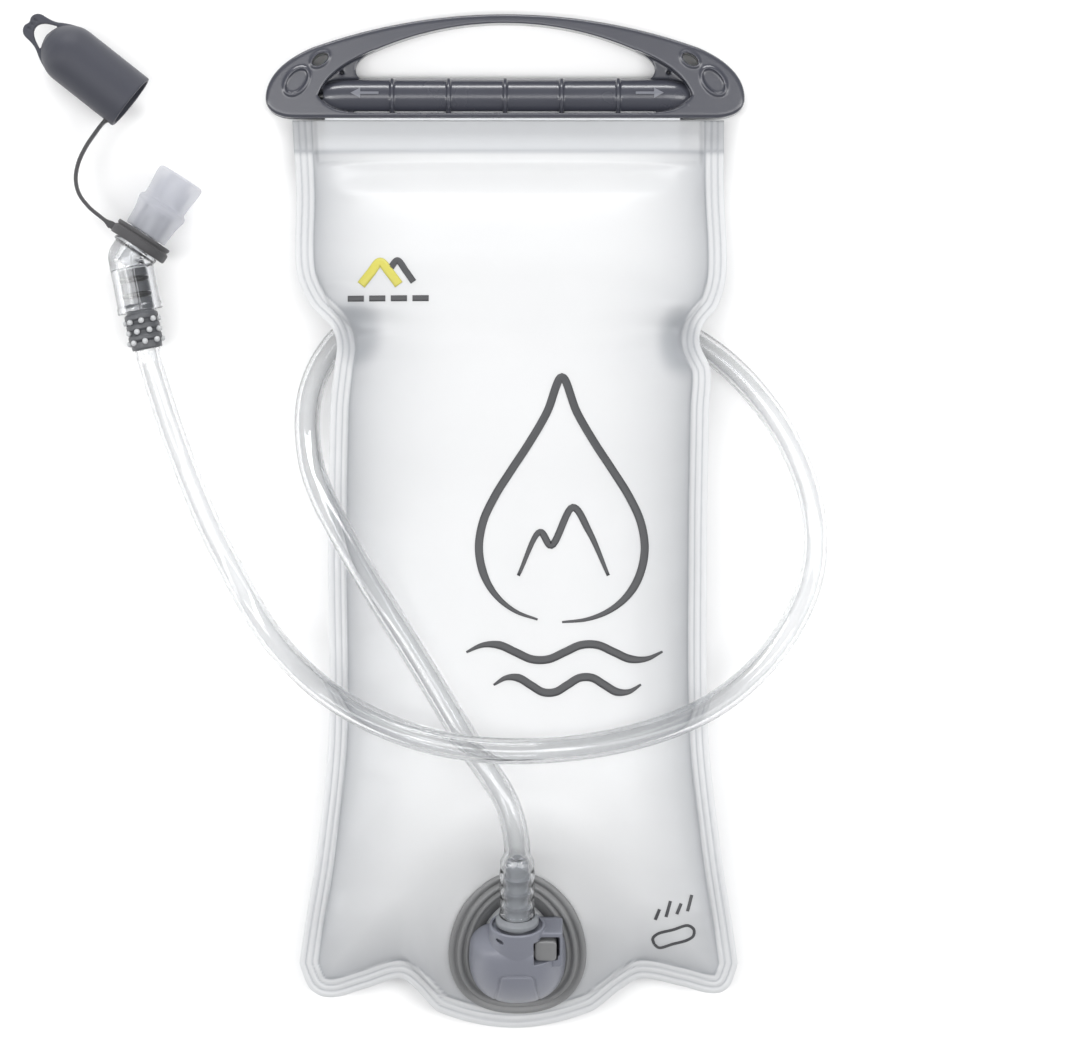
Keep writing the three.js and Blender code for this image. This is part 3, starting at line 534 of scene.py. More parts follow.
def film_material():
    """Milky film: part of the light is scattered through it and part goes straight through. Where the
    weld attribute is 1, on the welded border, less goes straight through and the surface is pitted. Where
    the second attribute is 1, the film is greyer: painted shade along the weld, at the waist pinches and
    in the crease, a greyer mouth above the crease, and the weld's own grey band and thin lines."""
    material = new_material("milky_film")
    tree = material.node_tree
    link = tree.links.new
    node = shade(
        material, (0.80, 0.82, 0.845), 0.34, Specular_IOR_Level=0.5, Coat_Weight=0.25, Coat_Roughness=0.18,
    )
    place_node = add_node(material, "ShaderNodeTexCoord")
    weld = add_node(material, "ShaderNodeAttribute", attribute_name="weld")
    haze = add_node(material, "ShaderNodeTexNoise", Scale=26, Detail=5, Roughness=0.6)
    specks = add_node(material, "ShaderNodeTexVoronoi", Scale=520)
    fine = add_node(material, "ShaderNodeTexNoise", Scale=700, Detail=3)
    for texture in (haze, specks, fine):
        link(place_node.outputs["Object"], texture.inputs["Vector"])
    spotted = add_node(material, "ShaderNodeMath", operation="MULTIPLY")
    link(specks.outputs["Distance"], spotted.inputs[0])
    link(weld.outputs["Fac"], spotted.inputs[1])
    relief = add_node(material, "ShaderNodeMath", operation="MULTIPLY_ADD")
    link(spotted.outputs[0], relief.inputs[0])
    relief.inputs[1].default_value = 5.0
    link(fine.outputs["Fac"], relief.inputs[2])
    bump = add_node(material, "ShaderNodeBump", Strength=1.0, Distance=0.02 * MM)
    link(relief.outputs[0], bump.inputs["Height"])
    link(bump.outputs["Normal"], node.inputs["Normal"])
    tint = add_node(material, "ShaderNodeMix", data_type="RGBA")
    tint.inputs["A"].default_value = (0.9, 0.905, 0.91, 1)
    tint.inputs["B"].default_value = (0.94, 0.943, 0.946, 1)
    link(haze.outputs["Fac"], tint.inputs["Factor"])
    # painted shade: the film is mixed towards grey where this attribute is 1, together with the weld's own
    # lines
    shade_and_weld_lines = add_node(material, "ShaderNodeAttribute", attribute_name="shade_and_weld_lines")
    painted_shade_mix = add_node(material, "ShaderNodeMix", data_type="RGBA")
    painted_shade_mix.inputs["B"].default_value = (0.52, 0.535, 0.56, 1)
    link(shade_and_weld_lines.outputs["Fac"], painted_shade_mix.inputs["Factor"])
    link(tint.outputs["Result"], painted_shade_mix.inputs["A"])
    link(painted_shade_mix.outputs["Result"], node.inputs["Base Color"])
    scattered = add_node(material, "ShaderNodeBsdfTranslucent")
    link(painted_shade_mix.outputs["Result"], scattered.inputs["Color"])
    body = add_node(material, "ShaderNodeMixShader", Fac=0.42)
    link(node.outputs[0], body.inputs[1])
    link(scattered.outputs[0], body.inputs[2])
    open_share = add_node(material, "ShaderNodeMapRange")
    open_share.inputs["To Min"].default_value = 0.3
    open_share.inputs["To Max"].default_value = 0.08
    link(weld.outputs["Fac"], open_share.inputs["Value"])
    through = add_node(material, "ShaderNodeBsdfTransparent")
    mixed = add_node(material, "ShaderNodeMixShader")
    link(open_share.outputs["Result"], mixed.inputs["Fac"])
    link(body.outputs[0], mixed.inputs[1])
    link(through.outputs[0], mixed.inputs[2])
    link(mixed.outputs[0], tree.nodes["Material Output"].inputs["Surface"])
    return material


def silicone():
    """Milky silicone: scatters most of the light on and lets a little straight through."""
    material = new_material("milky_silicone")
    tree = material.node_tree
    base = (0.54, 0.55, 0.59)
    node = shade(material, base, 0.3, Coat_Weight=0.3, Coat_Roughness=0.2)
    grain(material, node, 900, 0.02 * MM, 0.07, 0.05, base)
    scattered = add_node(material, "ShaderNodeBsdfTranslucent", Color=(0.72, 0.73, 0.78, 1))
    body = add_node(material, "ShaderNodeMixShader", Fac=0.5)
    through = add_node(material, "ShaderNodeBsdfTransparent")
    mixed = add_node(material, "ShaderNodeMixShader", Fac=0.5)
    tree.links.new(node.outputs[0], body.inputs[1])
    tree.links.new(scattered.outputs[0], body.inputs[2])
    tree.links.new(body.outputs[0], mixed.inputs[1])
    tree.links.new(through.outputs[0], mixed.inputs[2])
    tree.links.new(mixed.outputs[0], tree.nodes["Material Output"].inputs["Surface"])
    return material


def spring_steel():
    material = new_material("spring_steel")
    node = shade(material, (0.62, 0.62, 0.63), 0.28, Metallic=1.0)
    grain(material, node, 3000, 0.01 * MM, 0.04, 0.05, (0.62, 0.62, 0.63))
    return material


# ---- bag ----------------------------------------------------------------------------------------
FILM = 0.45 * MM
WELD = 7 * MM
MOUTH_Y = 0.149
CREASE_Y = 0.1373
RAIL_Z = 0.0063
WEB = 1.2 * MM
GAP = 0.3 * MM
MOUTH_EDGE = 0.047
BOTTOM_FADE = 0.024
PORT_FLANGE_HALF = 0.0255

left_edge = smooth_through([
    (-0.166, -0.0766), (-0.151, -0.0744), (-0.122, -0.0696), (-0.077, -0.0651), (-0.011, -0.0654),
    (0.041, -0.0646), (0.056, -0.0632), (0.065, -0.0622), (0.072, -0.0644), (0.08, -0.072),
    (0.093, -0.0773), (0.122, -0.0777), (0.149, -0.0792),
])
right_edge = smooth_through([
    (-0.166, 0.0866), (-0.151, 0.0844), (-0.122, 0.0799), (-0.077, 0.0751), (-0.011, 0.0747),
    (0.041, 0.0755), (0.056, 0.076), (0.065, 0.0722), (0.072, 0.073), (0.08, 0.079),
    (0.093, 0.0821), (0.122, 0.0814), (0.149, 0.0814),
])
bottom_edge = smooth_through([
    (0, -0.164), (0.025, -0.1735), (0.072, -0.1769), (0.15, -0.1736), (0.231, -0.1698),
    (0.265, -0.1735), (0.32, -0.1825), (0.49, -0.1883), (0.66, -0.1825), (0.735, -0.1735),
    (0.778, -0.1698), (0.87, -0.1726), (0.945, -0.1754), (0.98, -0.1725), (1, -0.164),
])
seam_height = smooth_through([
    (-0.188, 0.0085), (-0.16, 0.013), (-0.12, 0.019), (-0.06, 0.022), (0, 0.022), (0.065, 0.0218),
    (0.088, 0.0185), (0.105, 0.0125), (0.122, 0.0076), (0.133, 0.0063), (0.141, 0.0063), (0.149, 0.0063),
])
front_rise = smooth_through([
    (-0.188, 0.012), (-0.15, 0.02), (-0.11, 0.0245), (-0.06, 0.025), (-0.02, 0.025), (0.02, 0.023),
    (0.05, 0.015), (0.065, 0.012), (0.08, 0.014), (0.1, 0.017), (0.12, 0.014), (0.13, 0.006),
    (0.135, 0.001), (0.149, 0.001),
])
back_drop = smooth_through([
    (-0.188, 0.014), (-0.15, 0.024), (-0.06, 0.027), (0, 0.027), (0.03, 0.025), (0.048, 0.014),
    (0.06, 0.0102), (0.076, 0.0089), (0.091, 0.0066), (0.1, 0.0102), (0.112, 0.01), (0.122, 0.007),
    (0.13, 0.004), (0.135, 0.001), (0.149, 0.001),
])


def across_share(u, y, power):
    width = right_edge(y) - left_edge(y)
    s = np.minimum(np.abs(u - 0.5) / (0.5 - WELD / width), 1)
    return (1 - s ** 2.6) ** power


def mouth_rise(u, y):
    across = smoothstep(np.minimum(u, 1 - u), MOUTH_EDGE, MOUTH_EDGE + 0.012)
    return (WEB + 1.5 * GAP) * across * smoothstep(y, CREASE_Y - 8 * MM, CREASE_Y - 3 * MM)


def bottom_share(u, y):
    t = np.clip((y - bottom_edge(u) - WELD) / BOTTOM_FADE, 0, 1)
    return np.sin(t * math.pi / 2) ** 0.7


def port_share(x, y):
    """1 where the film is welded flat to the port's flange, fading to 0 around it."""
    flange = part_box("port_flange")
    centre = (flange[0] + flange[1]) / 2
    half = (flange[1] - flange[0]) / 2
    out = np.hypot((x - centre.x) / (half.x + MM), (y - centre.y) / (half.y + 2 * MM))
    return 1 - smoothstep(out, 1.0, 2.0)


def port_plane(y):
    """Height of the port's film plane."""
    low = Vector(PORT @ Vector((0, 0, reach("port_flange", PORT, 2)[0])))
    return low.z + (y - low.y) * PLUG_AXIS.z / PLUG_AXIS.y


def weld_distance(x, y):
    """Distance of each point from the bag's side and bottom edges."""
    v = np.linspace(0, 1, 240)
    u = np.linspace(0, 1, 240)
    side_y = bottom_edge(np.array(0.0)) * (1 - v) + MOUTH_Y * v
    edges = np.concatenate([
        np.column_stack([left_edge(side_y), side_y]),
        np.column_stack([right_edge(side_y), side_y]),
        np.column_stack([
            left_edge(bottom_edge(u)) * (1 - u) + right_edge(bottom_edge(u)) * u, bottom_edge(u),
        ]),
    ])
    flat = np.column_stack([x.ravel(), y.ravel()])
    nearest = [np.sqrt(((edges - chunk[:, None]) ** 2).sum(-1).min(1)) for chunk in np.array_split(flat, 60)]
    return np.concatenate(nearest).reshape(x.shape)


def spread(parts):
    """Shares from 0 to 1, given as stretches of (end, steps)."""
    shares, start = [0.0], 0.0
    for end, steps in parts:
        shares += list(np.linspace(start, end, steps + 1)[1:])
        start = end
    return np.array(shares)


def puckers(x, y, distance, seed):
    """Small folds where the bulging film meets the weld, strongest at the waist and in the corners."""
    flat = np.column_stack([x.ravel(), y.ravel()])
    waves = np.array([
        noise.noise(Vector((px * 16, py * 78, seed)))
        + 0.5 * noise.noise(Vector((px * 40, py * 170, seed + 9)))
        for px, py in flat
    ]).reshape(x.shape)
    near = np.exp(-((distance - WELD) / (13 * MM)) ** 2) * smoothstep(distance, WELD * 0.6, WELD * 1.6)
    strength = 0.5 + 0.9 * np.exp(-((y - 0.066) / 0.02) ** 2) + 0.8 * smoothstep(-y, 0.12, 0.165)
    return waves * near * strength * 1.5 * MM


def film_shade_and_weld_lines(x, y, distance, on_weld):
    """Painted shade on the film, from 0 to 1: along the weld where the bulging film turns steeply away from
    the light, at the pinches of the waist and in the crease; the mouth above the crease greyer too, and the
    weld's own grey band and thin lines.
    """
    # painted shade along the weld, where the bulging film turns steeply away from the light
    painted_shade = 0.5 * np.exp(-np.maximum(distance - WELD, 0) / (8 * MM)) * (1 - on_weld)
    painted_shade += 0.2 * np.exp(-(np.maximum(distance - WELD, 0) / (26 * MM)) ** 2) * (1 - on_weld)
    # painted shade in the two pinches of the waist
    for pinch_x, pinch_y, wide in ((-0.054, 0.07, 9 * MM), (0.064, 0.066, 8 * MM)):
        out = np.hypot((x - pinch_x) / wide, (y - pinch_y) / (13 * MM))
        painted_shade += 0.45 * (1 - smoothstep(out, 0.5, 1.25))
    # the mouth above the crease greyer, and painted shade in the crease itself
    mouth = smoothstep(y, CREASE_Y - 0.5 * MM, CREASE_Y + 0.5 * MM)
    crease = np.exp(-((y - CREASE_Y) / (0.9 * MM)) ** 2)
    painted_shade = painted_shade * (1 - mouth) + 0.42 * mouth + 0.45 * crease
    # the weld's own grey band and thin lines
    line_step = WELD / 3
    off_line = np.abs((distance / line_step + 0.5) % 1 - 0.5) * line_step
    near_weld = (distance > 0.5 * line_step) & (distance < 3.4 * line_step)
    lines = np.exp(-(off_line / (0.28 * MM)) ** 2) * near_weld
    return np.clip(painted_shade + 0.26 * on_weld + 0.6 * lines, 0, 1)


def film_panel(name, front, finish):
    columns = spread([(0.044, 16), (0.12, 22), (0.88, 90), (0.956, 22), (1, 16)])
    rows = spread([(0.022, 14), (0.12, 34), (0.66, 110), (0.80, 60), (0.95, 50), (1, 24)])
    u, v = np.meshgrid(columns, rows)
    y = bottom_edge(u) * (1 - v) + MOUTH_Y * v
    x = left_edge(y) * (1 - u) + right_edge(y) * u
    distance = weld_distance(x, y)
    seam = seam_height(y)
    ridges = 0.5 + 0.5 * np.cos(2 * math.pi * distance / (WELD / 3.0) + math.pi)
    on_weld = 1 - smoothstep(distance, WELD * 0.9, WELD * 1.05)
    weld = ridges * on_weld * 0.28 * MM
    wrinkle = puckers(x, y, distance, 3.0 if front else 7.0)
    if front:
        bulge = front_rise(y) * across_share(u, y, 0.6) * bottom_share(u, y)
        inside = np.minimum(1, bulge / (4 * MM))
        free = seam + GAP / 2 + np.maximum(bulge, mouth_rise(u, y)) + wrinkle * inside
        flat = np.maximum(port_plane(y) - FILM - GAP / 2, seam + GAP / 2)
        share = port_share(x, y) * inside
        inner = free * (1 - share) + flat * share + weld * 0.3
    else:
        drop = back_drop(y) * across_share(u, y, 0.45) * bottom_share(u, y)
        free = seam - GAP / 2 - np.maximum(drop, mouth_rise(u, y)) + wrinkle
        inner = np.maximum(free, FILM) - weld * 0.3 * (free > 2 * FILM)
    outward = 1 if front else -1
    low = np.stack([x, y, inner], axis=-1)
    high = np.stack([x, y, inner + outward * (FILM + weld * 0.7)], axis=-1)
    if not front:
        high[..., 2] = np.maximum(high[..., 2], 0)
    piece = shell(name, high, low) if front else shell(name, low, high)
    # the second attribute carries painted shade on the film, with the weld's own grey band and lines
    for layer, values in (("weld", on_weld), ("shade_and_weld_lines", film_shade_and_weld_lines(x, y, distance, on_weld))):
        attribute = piece.data.attributes.new(layer, "FLOAT", "POINT")
        attribute.data.foreach_set("value", np.tile(values.ravel(), 2).astype(np.float32))
    return place(piece, "bag", "film", finish, "front_panel" if front else "back_panel")


def seal_rail(name, side, finish):
    """Half of the round bead with its flat web, drawn across the mouth and drawn out along it."""
    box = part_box(name)
    radius, face = 3.5 * MM, GAP / 2
    bead_y = box[1].y - radius
    section = [(box[0].y, face), (bead_y + radius * math.cos(math.asin(face / radius)), face)]
    start = math.asin(face / radius)
    end = math.pi - math.asin((face + WEB) / radius)
    section += [
        (bead_y + radius * math.cos(a), radius * math.sin(a)) for a in np.linspace(start, end, 30)[1:]
    ]
    section += [(box[0].y, face + WEB)]
    matrix = Matrix(((0, 0, 1, 0), (1, 0, 0, 0), (0, side, 0, RAIL_Z), (0, 0, 0, 1)))
    piece = prism(name + "_moulding", section, box[0].x, box[1].x, matrix)
    tidy_mesh(piece)
    crisp(piece)
    return place(piece, "bag", "rail", finish, name)


def crisp(piece, angle=40):
    """Smooth shading that keeps the edges sharper than an angle."""
    limit = math.radians(angle)
    work = bmesh.new()
    work.from_mesh(piece.data)
    for edge in work.edges:
        edge.smooth = len(edge.link_faces) == 2 and edge.calc_face_angle(0) < limit
    work.to_mesh(piece.data)
    work.free()


# ---- drinking tube ------------------------------------------------------------------------------
TUBE_R = 4.75 * MM
TUBE_BORE = 3.1 * MM
SLEEVE_R = 6.4 * MM
BARB_R = 5.25 * MM
TUBE_ROUTE = [
    (0.0035, -0.1115, 0.0576), (0.0004, -0.102, 0.0594), (-0.0054, -0.092, 0.0598),
    (-0.0128, -0.0815, 0.0584), (-0.0228, -0.065, 0.0554), (-0.033, -0.0482, 0.0528),
    (-0.0428, -0.033, 0.0498), (-0.0518, -0.0186, 0.0448), (-0.06, -0.0045, 0.0384),
    (-0.067, 0.0086, 0.0304), (-0.0712, 0.0195, 0.0224), (-0.073, 0.0295, 0.0158),
    (-0.0734, 0.0395, 0.0108), (-0.0718, 0.0498, 0.0074), (-0.0674, 0.06, 0.0055),
    (-0.0605, 0.069, 0.005), (-0.0514, 0.0759, 0.005), (-0.0408, 0.0802, 0.005),
    (-0.028, 0.0818, 0.005), (-0.01, 0.082, 0.005), (0.012, 0.082, 0.005), (0.034, 0.08, 0.005),
    (0.054, 0.0752, 0.005), (0.073, 0.0656, 0.005), (0.088, 0.0534, 0.005), (0.1015, 0.0365, 0.005),
    (0.1096, 0.021, 0.005), (0.1144, 0.005, 0.005), (0.1154, -0.01, 0.0052), (0.113, -0.024, 0.0064),
    (0.107, -0.0375, 0.0096), (0.0986, -0.0495, 0.0152), (0.088, -0.06, 0.0234),
    (0.0765, -0.068, 0.0326), (0.064, -0.0738, 0.0418), (0.05, -0.0782, 0.0506),
    (0.034, -0.0814, 0.0586), (0.016, -0.0832, 0.0656), (-0.002, -0.0834, 0.0694),
    (-0.017, -0.0818, 0.0696), (-0.032, -0.0784, 0.0658), (-0.047, -0.073, 0.058),
    (-0.06, -0.0662, 0.0484), (-0.071, -0.0584, 0.0382), (-0.0806, -0.0495, 0.0274),
    (-0.0888, -0.0398, 0.0174), (-0.096, -0.0286, 0.0096), (-0.1026, -0.0165, 0.006),
    (-0.1095, -0.003, 0.005), (-0.116, 0.012, 0.005), (-0.1216, 0.0265, 0.006), (-0.1262, 0.04, 0.009),
]


def curve_through(points, per_span=14):
    """Points along the centripetal Catmull-Rom curve through the given ones."""
    given = [Vector(p) for p in points]
    ends = [given[0] * 2 - given[1], *given, given[-1] * 2 - given[-2]]
    found = []
    for p0, p1, p2, p3 in zip(ends, ends[1:], ends[2:], ends[3:]):
        d0, d1, d2 = ((b - a).length ** 0.5 for a, b in ((p0, p1), (p1, p2), (p2, p3)))
        t1 = ((p1 - p0) / d0 - (p2 - p0) / (d0 + d1) + (p2 - p1) / d1) * d1
        t2 = ((p2 - p1) / d1 - (p3 - p1) / (d1 + d2) + (p3 - p2) / d2) * d1
        for k in range(per_span):
            t = k / per_span
            found.append(
                p1 * (2 * t ** 3 - 3 * t ** 2 + 1) + t1 * (t ** 3 - 2 * t ** 2 + t)
                + p2 * (3 * t ** 2 - 2 * t ** 3) + t2 * (t ** 3 - t ** 2)
            )
    return found + [given[-1]]


def sweep(name, path, section_at, sides):
    """A tube along a path. section_at(distance) gives its rings' radii, the outer one and, for a
    hollow tube, the inner one."""
    points = [Vector(p) for p in path]
    side = Vector((0, 0, 1)).cross(points[1] - points[0]).normalized()
    along, outer, inner = 0.0, [], []
    for i, point in enumerate(points):
        ahead = points[min(i + 1, len(points) - 1)] - points[max(i - 1, 0)]
        tangent = ahead.normalized()
        side = (side - tangent * side.dot(tangent)).normalized()
        up = tangent.cross(side)
        if i:
            along += (point - points[i - 1]).length
        radii = section_at(along)
        for rings, radius in zip((outer, inner), radii):
            for k in range(sides):
                angle = 2 * math.pi * k / sides
                rings.append(point + (side * math.cos(angle) + up * math.sin(angle)) * radius)
    rows = len(points)
    count = rows * sides
    faces = quads(rows, sides, wrap=True)
    last = (rows - 1) * sides
    if inner:
        faces += quads(rows, sides, count, flip=True, wrap=True)
        for c in range(sides):
            d = (c + 1) % sides
            faces.append((c, count + c, count + d, d))
            faces.append((last + c, last + d, count + last + d, count + last + c))
    else:
        faces.append(tuple(range(sides))[::-1])
        faces.append(tuple(range(last, last + sides)))
    piece = piece_of(name, outer + inner, faces)
    tidy_mesh(piece)
    return piece, along


def drinking_tube(finish):
    sleeve_from = reach("hose_port_run", PLUG_LINE)[0]
    barb_end = reach("hose_plug", PLUG_LINE)[1]
    stem_end = reach("valve_stem", VALVE)[0]
    on_plug = [PLUG_LINE @ Vector((0, y, 0)) for y in np.linspace(sleeve_from, barb_end, 20)]
    free = [
        PLUG_LINE @ Vector((0, barb_end + 0.3 * MM, 0)), PLUG_LINE @ Vector((0, barb_end + 4 * MM, 0)),
        *TUBE_ROUTE,
        VALVE @ Vector((0, stem_end - 6 * MM, 0)), VALVE @ Vector((0, stem_end - 0.3 * MM, 0)),
    ]
    path = on_plug + curve_through(free)
    sleeve = barb_end - sleeve_from

    def radii(along):
        share = float(smoothstep(np.array(along), sleeve - 3 * MM, sleeve + 3 * MM))
        grip = 0.25 * MM * math.cos(along / (5.6 * MM) * 2 * math.pi) * (1 - share)
        outer = SLEEVE_R + (TUBE_R - SLEEVE_R) * share + grip
        return outer, BARB_R + (TUBE_BORE - BARB_R) * share

    piece, length = sweep("drinking_tube", path, radii, 40)
    place(piece, None, "tube", finish, "hose_main", "hose_port_run")
    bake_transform(piece)
    return piece, path, length


# ---- slide seal ---------------------------------------------------------------------------------
BEAD_Y = 158.1
SLIDER_BOTTOM = 149.7
SLIDER_DEPTH = 12.4
RAIL_HEIGHT = 6.3
BEAD_LINE = Matrix.Translation((0, BEAD_Y * MM, RAIL_HEIGHT * MM)) @ Matrix.Rotation(-math.pi / 2, 4, "Z")
TUBE_HALF = 6.3
TUBE_END = 71
RIB_STEP = 21
HANDLE_TOP, HANDLE_ARC, HANDLE_HALF = 188.3, 213, 72
HOLE_TOP, HOLE_ARC, HOLE_HALF, HOLE_FLOOR = 184.9, 121, 50, 164.6


def metres(points):
    return [tuple(value * MM for value in point) for point in points]


def mirrored(half):
    """An outline from its right half, given from the bottom up."""
    return half + [(-x, y) for x, y in reversed(half) if x > 1e-9]


def arc_end(top, radius, half):
    """Height at which an arc with the given top has run half to the side."""
    return top - radius + math.sqrt(radius ** 2 - half ** 2)


def upper_arc(top, radius, half, steps=40):
    """The right half of an arc over the Y axis, from its side to its top."""
    start = math.degrees(math.acos(half / radius))
    return arc((0, top - radius), radius, start, 90, steps) + [(0, top)]


def slider_outline():
    end = arc_end(HANDLE_TOP, HANDLE_ARC, HANDLE_HALF)
    corner = bezier((78, SLIDER_BOTTOM), (85, SLIDER_BOTTOM), (89, 152.5), (89, 157))
    shoulder = bezier((89, 157), (89, 164.5), (83, 171), (HANDLE_HALF, end))
    return mirrored([*corner, *shoulder, *upper_arc(HANDLE_TOP, HANDLE_ARC, HANDLE_HALF)])


def grip_outline():
    end = arc_end(HOLE_TOP, HOLE_ARC, HOLE_HALF)
    side = bezier((54, HOLE_FLOOR), (57.6, 167.8), (55, 172), (HOLE_HALF, end))
    return mirrored([*side, *upper_arc(HOLE_TOP, HOLE_ARC, HOLE_HALF)])


def tube_recess():
    """Around the tube, with an arm up to each corner of the grip opening."""
    foot = bezier((52, 151.6), (61, 151.6), (66.5, 153.2), (69.6, BEAD_Y))
    arm = bezier((69.6, BEAD_Y), (67.5, 164), (62, 169.6), (48.5, 175))
    return mirrored([*foot, *arm, (48.5, 175), (40, 172)])


def oval(x, y, half_long, half_wide, turn, steps=40):
    angle = math.radians(turn)
    points = []
    for k in range(steps):
        a = 2 * math.pi * k / steps
        u, v = half_long * math.cos(a), half_wide * math.sin(a)
        points.append((
            x + u * math.cos(angle) - v * math.sin(angle),
            y + u * math.sin(angle) + v * math.cos(angle),
        ))
    return points


def loft(name, outline, section, matrix=None):
    """A ring moulding that follows an outline. The section is [inset from the outline, height]."""
    flat = np.array(outline)
    if signed_area(flat) < 0:
        flat = flat[::-1]
    rings = []
    for inset, z in section:
        ring = inset_outline(flat, inset)
        rings.append(np.column_stack([ring, np.full(len(ring), z)]))
    count = len(flat)
    points = np.concatenate(rings)
    faces = quads(len(rings), count, wrap=True)
    last = (len(rings) - 1) * count
    faces += [(last + c, last + (c + 1) % count, (c + 1) % count, c) for c in range(count)]
    if matrix is not None:
        world = np.array(matrix)
        points = points @ world[:3, :3].T + world[:3, 3]
    piece = piece_of(name, points, faces)
    tidy_mesh(piece)
    return piece


def plate(name, outline, low, high, bevel=0.0, matrix=None):
    """A prism whose outline, levels and bevel are in millimetres."""
    piece = prism(name, metres(outline), low * MM, high * MM, matrix, bevel * MM)
    tidy_mesh(piece)
    return piece


def slider_tube():
    """The round tube that holds the bead, with its domed ends and its ribs, as solids to melt together."""
    dome = 12
    end = [
        (TUBE_HALF * math.cos(a), TUBE_END - dome + dome * math.sin(a))
        for a in np.radians(range(0, 90, 6))
    ]
    profile = [(0, -TUBE_END), *((r, -y) for r, y in reversed(end)), *end, (0, TUBE_END)]
    solids = [lathe("slider_tube", metres(profile), BEAD_LINE, radius=0)]
    for step in range(-2, 3):
        at = step * RIB_STEP
        rib = [(0, at - 0.7), (TUBE_HALF + 1, at - 0.7), (TUBE_HALF + 1, at + 0.7), (0, at + 0.7)]
        solids.append(lathe("rib", metres(rib), BEAD_LINE, radius=0.6 * MM))
    return solids


def slider_handle(finish):
    body = plate("slider_moulding", slider_outline(), 0, SLIDER_DEPTH, 1.3)
    combine(body, plate("recess", tube_recess(), 6.6, 20))
    solids = [body, *slider_tube()]
    slot = [(-91, 148), (66, 148), (66, BEAD_Y), (-91, BEAD_Y)]
    tools = [
        plate("grip", grip_outline(), -2, 20),
        round_bar("channel", 4.1, -91, 66, BEAD_LINE),
        plate("slot", slot, RAIL_HEIGHT - 2.2, RAIL_HEIGHT + 2.2),
        plate("underside", [(-100, 140), (100, 140), (100, 200), (-100, 200)], -5, 0.05),
    ]
    for side in (-1, 1):
        eye = oval(side * 68.7, 171.4, 4.3, 2.8, -33 * side)
        rim = oval(side * 77.4, 163.3, 6.3, 4.2, -51 * side)
        solids.append(plate("eye", eye, 6, SLIDER_DEPTH + 0.4, 0.4))
        solids.append(plate("rim", rim, 6, SLIDER_DEPTH + 0.5, 0.4))
        tools.append(plate("lanyard", oval(side * 68.7, 171.4, 3.3, 1.9, -33 * side), -2, 20))
        tools.append(plate("dimple", oval(side * 77.4, 163.3, 5.2, 3.1, -51 * side), SLIDER_DEPTH - 0.5, 20))
        tools.append(plate("peg_hole", oval(side * 60.8, 166.9, 0.8, 0.8, 0, 16), 4, 10))
    piece = moulded(solids, tools, 0.32 * MM)
    return place(piece, "slider", "slider", finish, "slider_handle")


def wrapped_mark(name, outline, finish):
    """A flat raised mark laid over the slider's tube. The outline is in millimetres."""
    piece = plate(name, outline, RAIL_HEIGHT + TUBE_HALF - 0.3, RAIL_HEIGHT + TUBE_HALF + 0.35)
    for vertex in piece.data.vertices:
        off = (vertex.co.y / MM - BEAD_Y) / TUBE_HALF
        vertex.co.z -= TUBE_HALF * (1 - math.sqrt(max(0, 1 - off ** 2))) * MM
    crisp(piece)
    return place(piece, "slider", "slider", finish)


def arrow(x, direction):
    """An arrow along X with its middle at x, pointing the way that direction gives."""
    shape = [(-5, -0.45), (1.8, -0.45), (1.8, -1.9), (5.4, 0), (1.8, 1.9), (1.8, 0.45), (-5, 0.45)]
    return [(x + direction * px, BEAD_Y + 0.9 + py) for px, py in shape]


# ---- port ---------------------------------------------------------------------------------------
HOUSING_BASE = 2.1
SOCKET_R = 5.4
SOCKET_MOUTH = 14
BUTTON_X, BUTTON_Y, BUTTON_HALF, BUTTON_TOP = 10.4, 5.6, 4, 18.6
SPRING_FOOT = Vector((sum(reach("button_spring", PORT, 0)) / 2, sum(reach("button_spring", PORT, 1)) / 2, 0))


def flange_outline(grown=0.0):
    w, top, bottom = PORT_FLANGE_HALF / MM + grown, 29.5 + grown, -30 - grown
    low = -21 - grown * 0.6
    side = 17.5 + grown * 0.7
    half = bezier((0, bottom), (w * 0.62, bottom), (w, low), (w, -5), 30)
    half += bezier((w, -5), (w, 4), (w * 0.86, 13), (w * 0.73, side), 20)
    half += bezier((w * 0.73, side), (w * 0.55, 24 + grown), (w * 0.28, top), (0, top), 20)
    return mirrored(half + [(0, top)])


def port_flange(finish):
    """The flange welded to the film: a rounded edge, two fine ridges and a trough round the housing."""
    section = [(11, 0), (0.9, 0), (0.25, 0.25), (0, 0.9), (0.25, 1.8), (0.9, 2.2), (2.0, 2.25)]
    section += [(2.4, 1.4), (3.1, 1.4), (3.5, 2.6), (4.3, 2.9), (5.1, 2.5), (5.4, 1.5), (6.1, 1.5)]
    section += [(6.5, 2.4), (7.1, 2.6), (7.7, 2.0), (8.2, 1.6), (11, 1.5)]
    piece = loft("port_flange_moulding", metres(flange_outline()), metres(section), PORT)
    return place(piece, "bag", "flange", finish, "port_flange")


def plan_half(y):
    """Half the housing's width at a place along the plug."""
    outline = np.array([p for p in flange_outline(-7.6) if p[0] >= 0])
    order = outline[:, 1].argsort()
    return float(np.interp(y, outline[order, 1], outline[order, 0]))


def distance_to(line, x, y):
    """Distance of each point from a closed outline."""
    nearest = np.full(x.shape, np.inf)
    for (ax, ay), (bx, by) in zip(line, line[1:] + line[:1]):
        dx, dy = bx - ax, by - ay
        t = np.clip(((x - ax) * dx + (y - ay) * dy) / max(dx * dx + dy * dy, 1e-9), 0, 1)
        nearest = np.minimum(nearest, np.hypot(x - ax - t * dx, y - ay - t * dy))
    return nearest


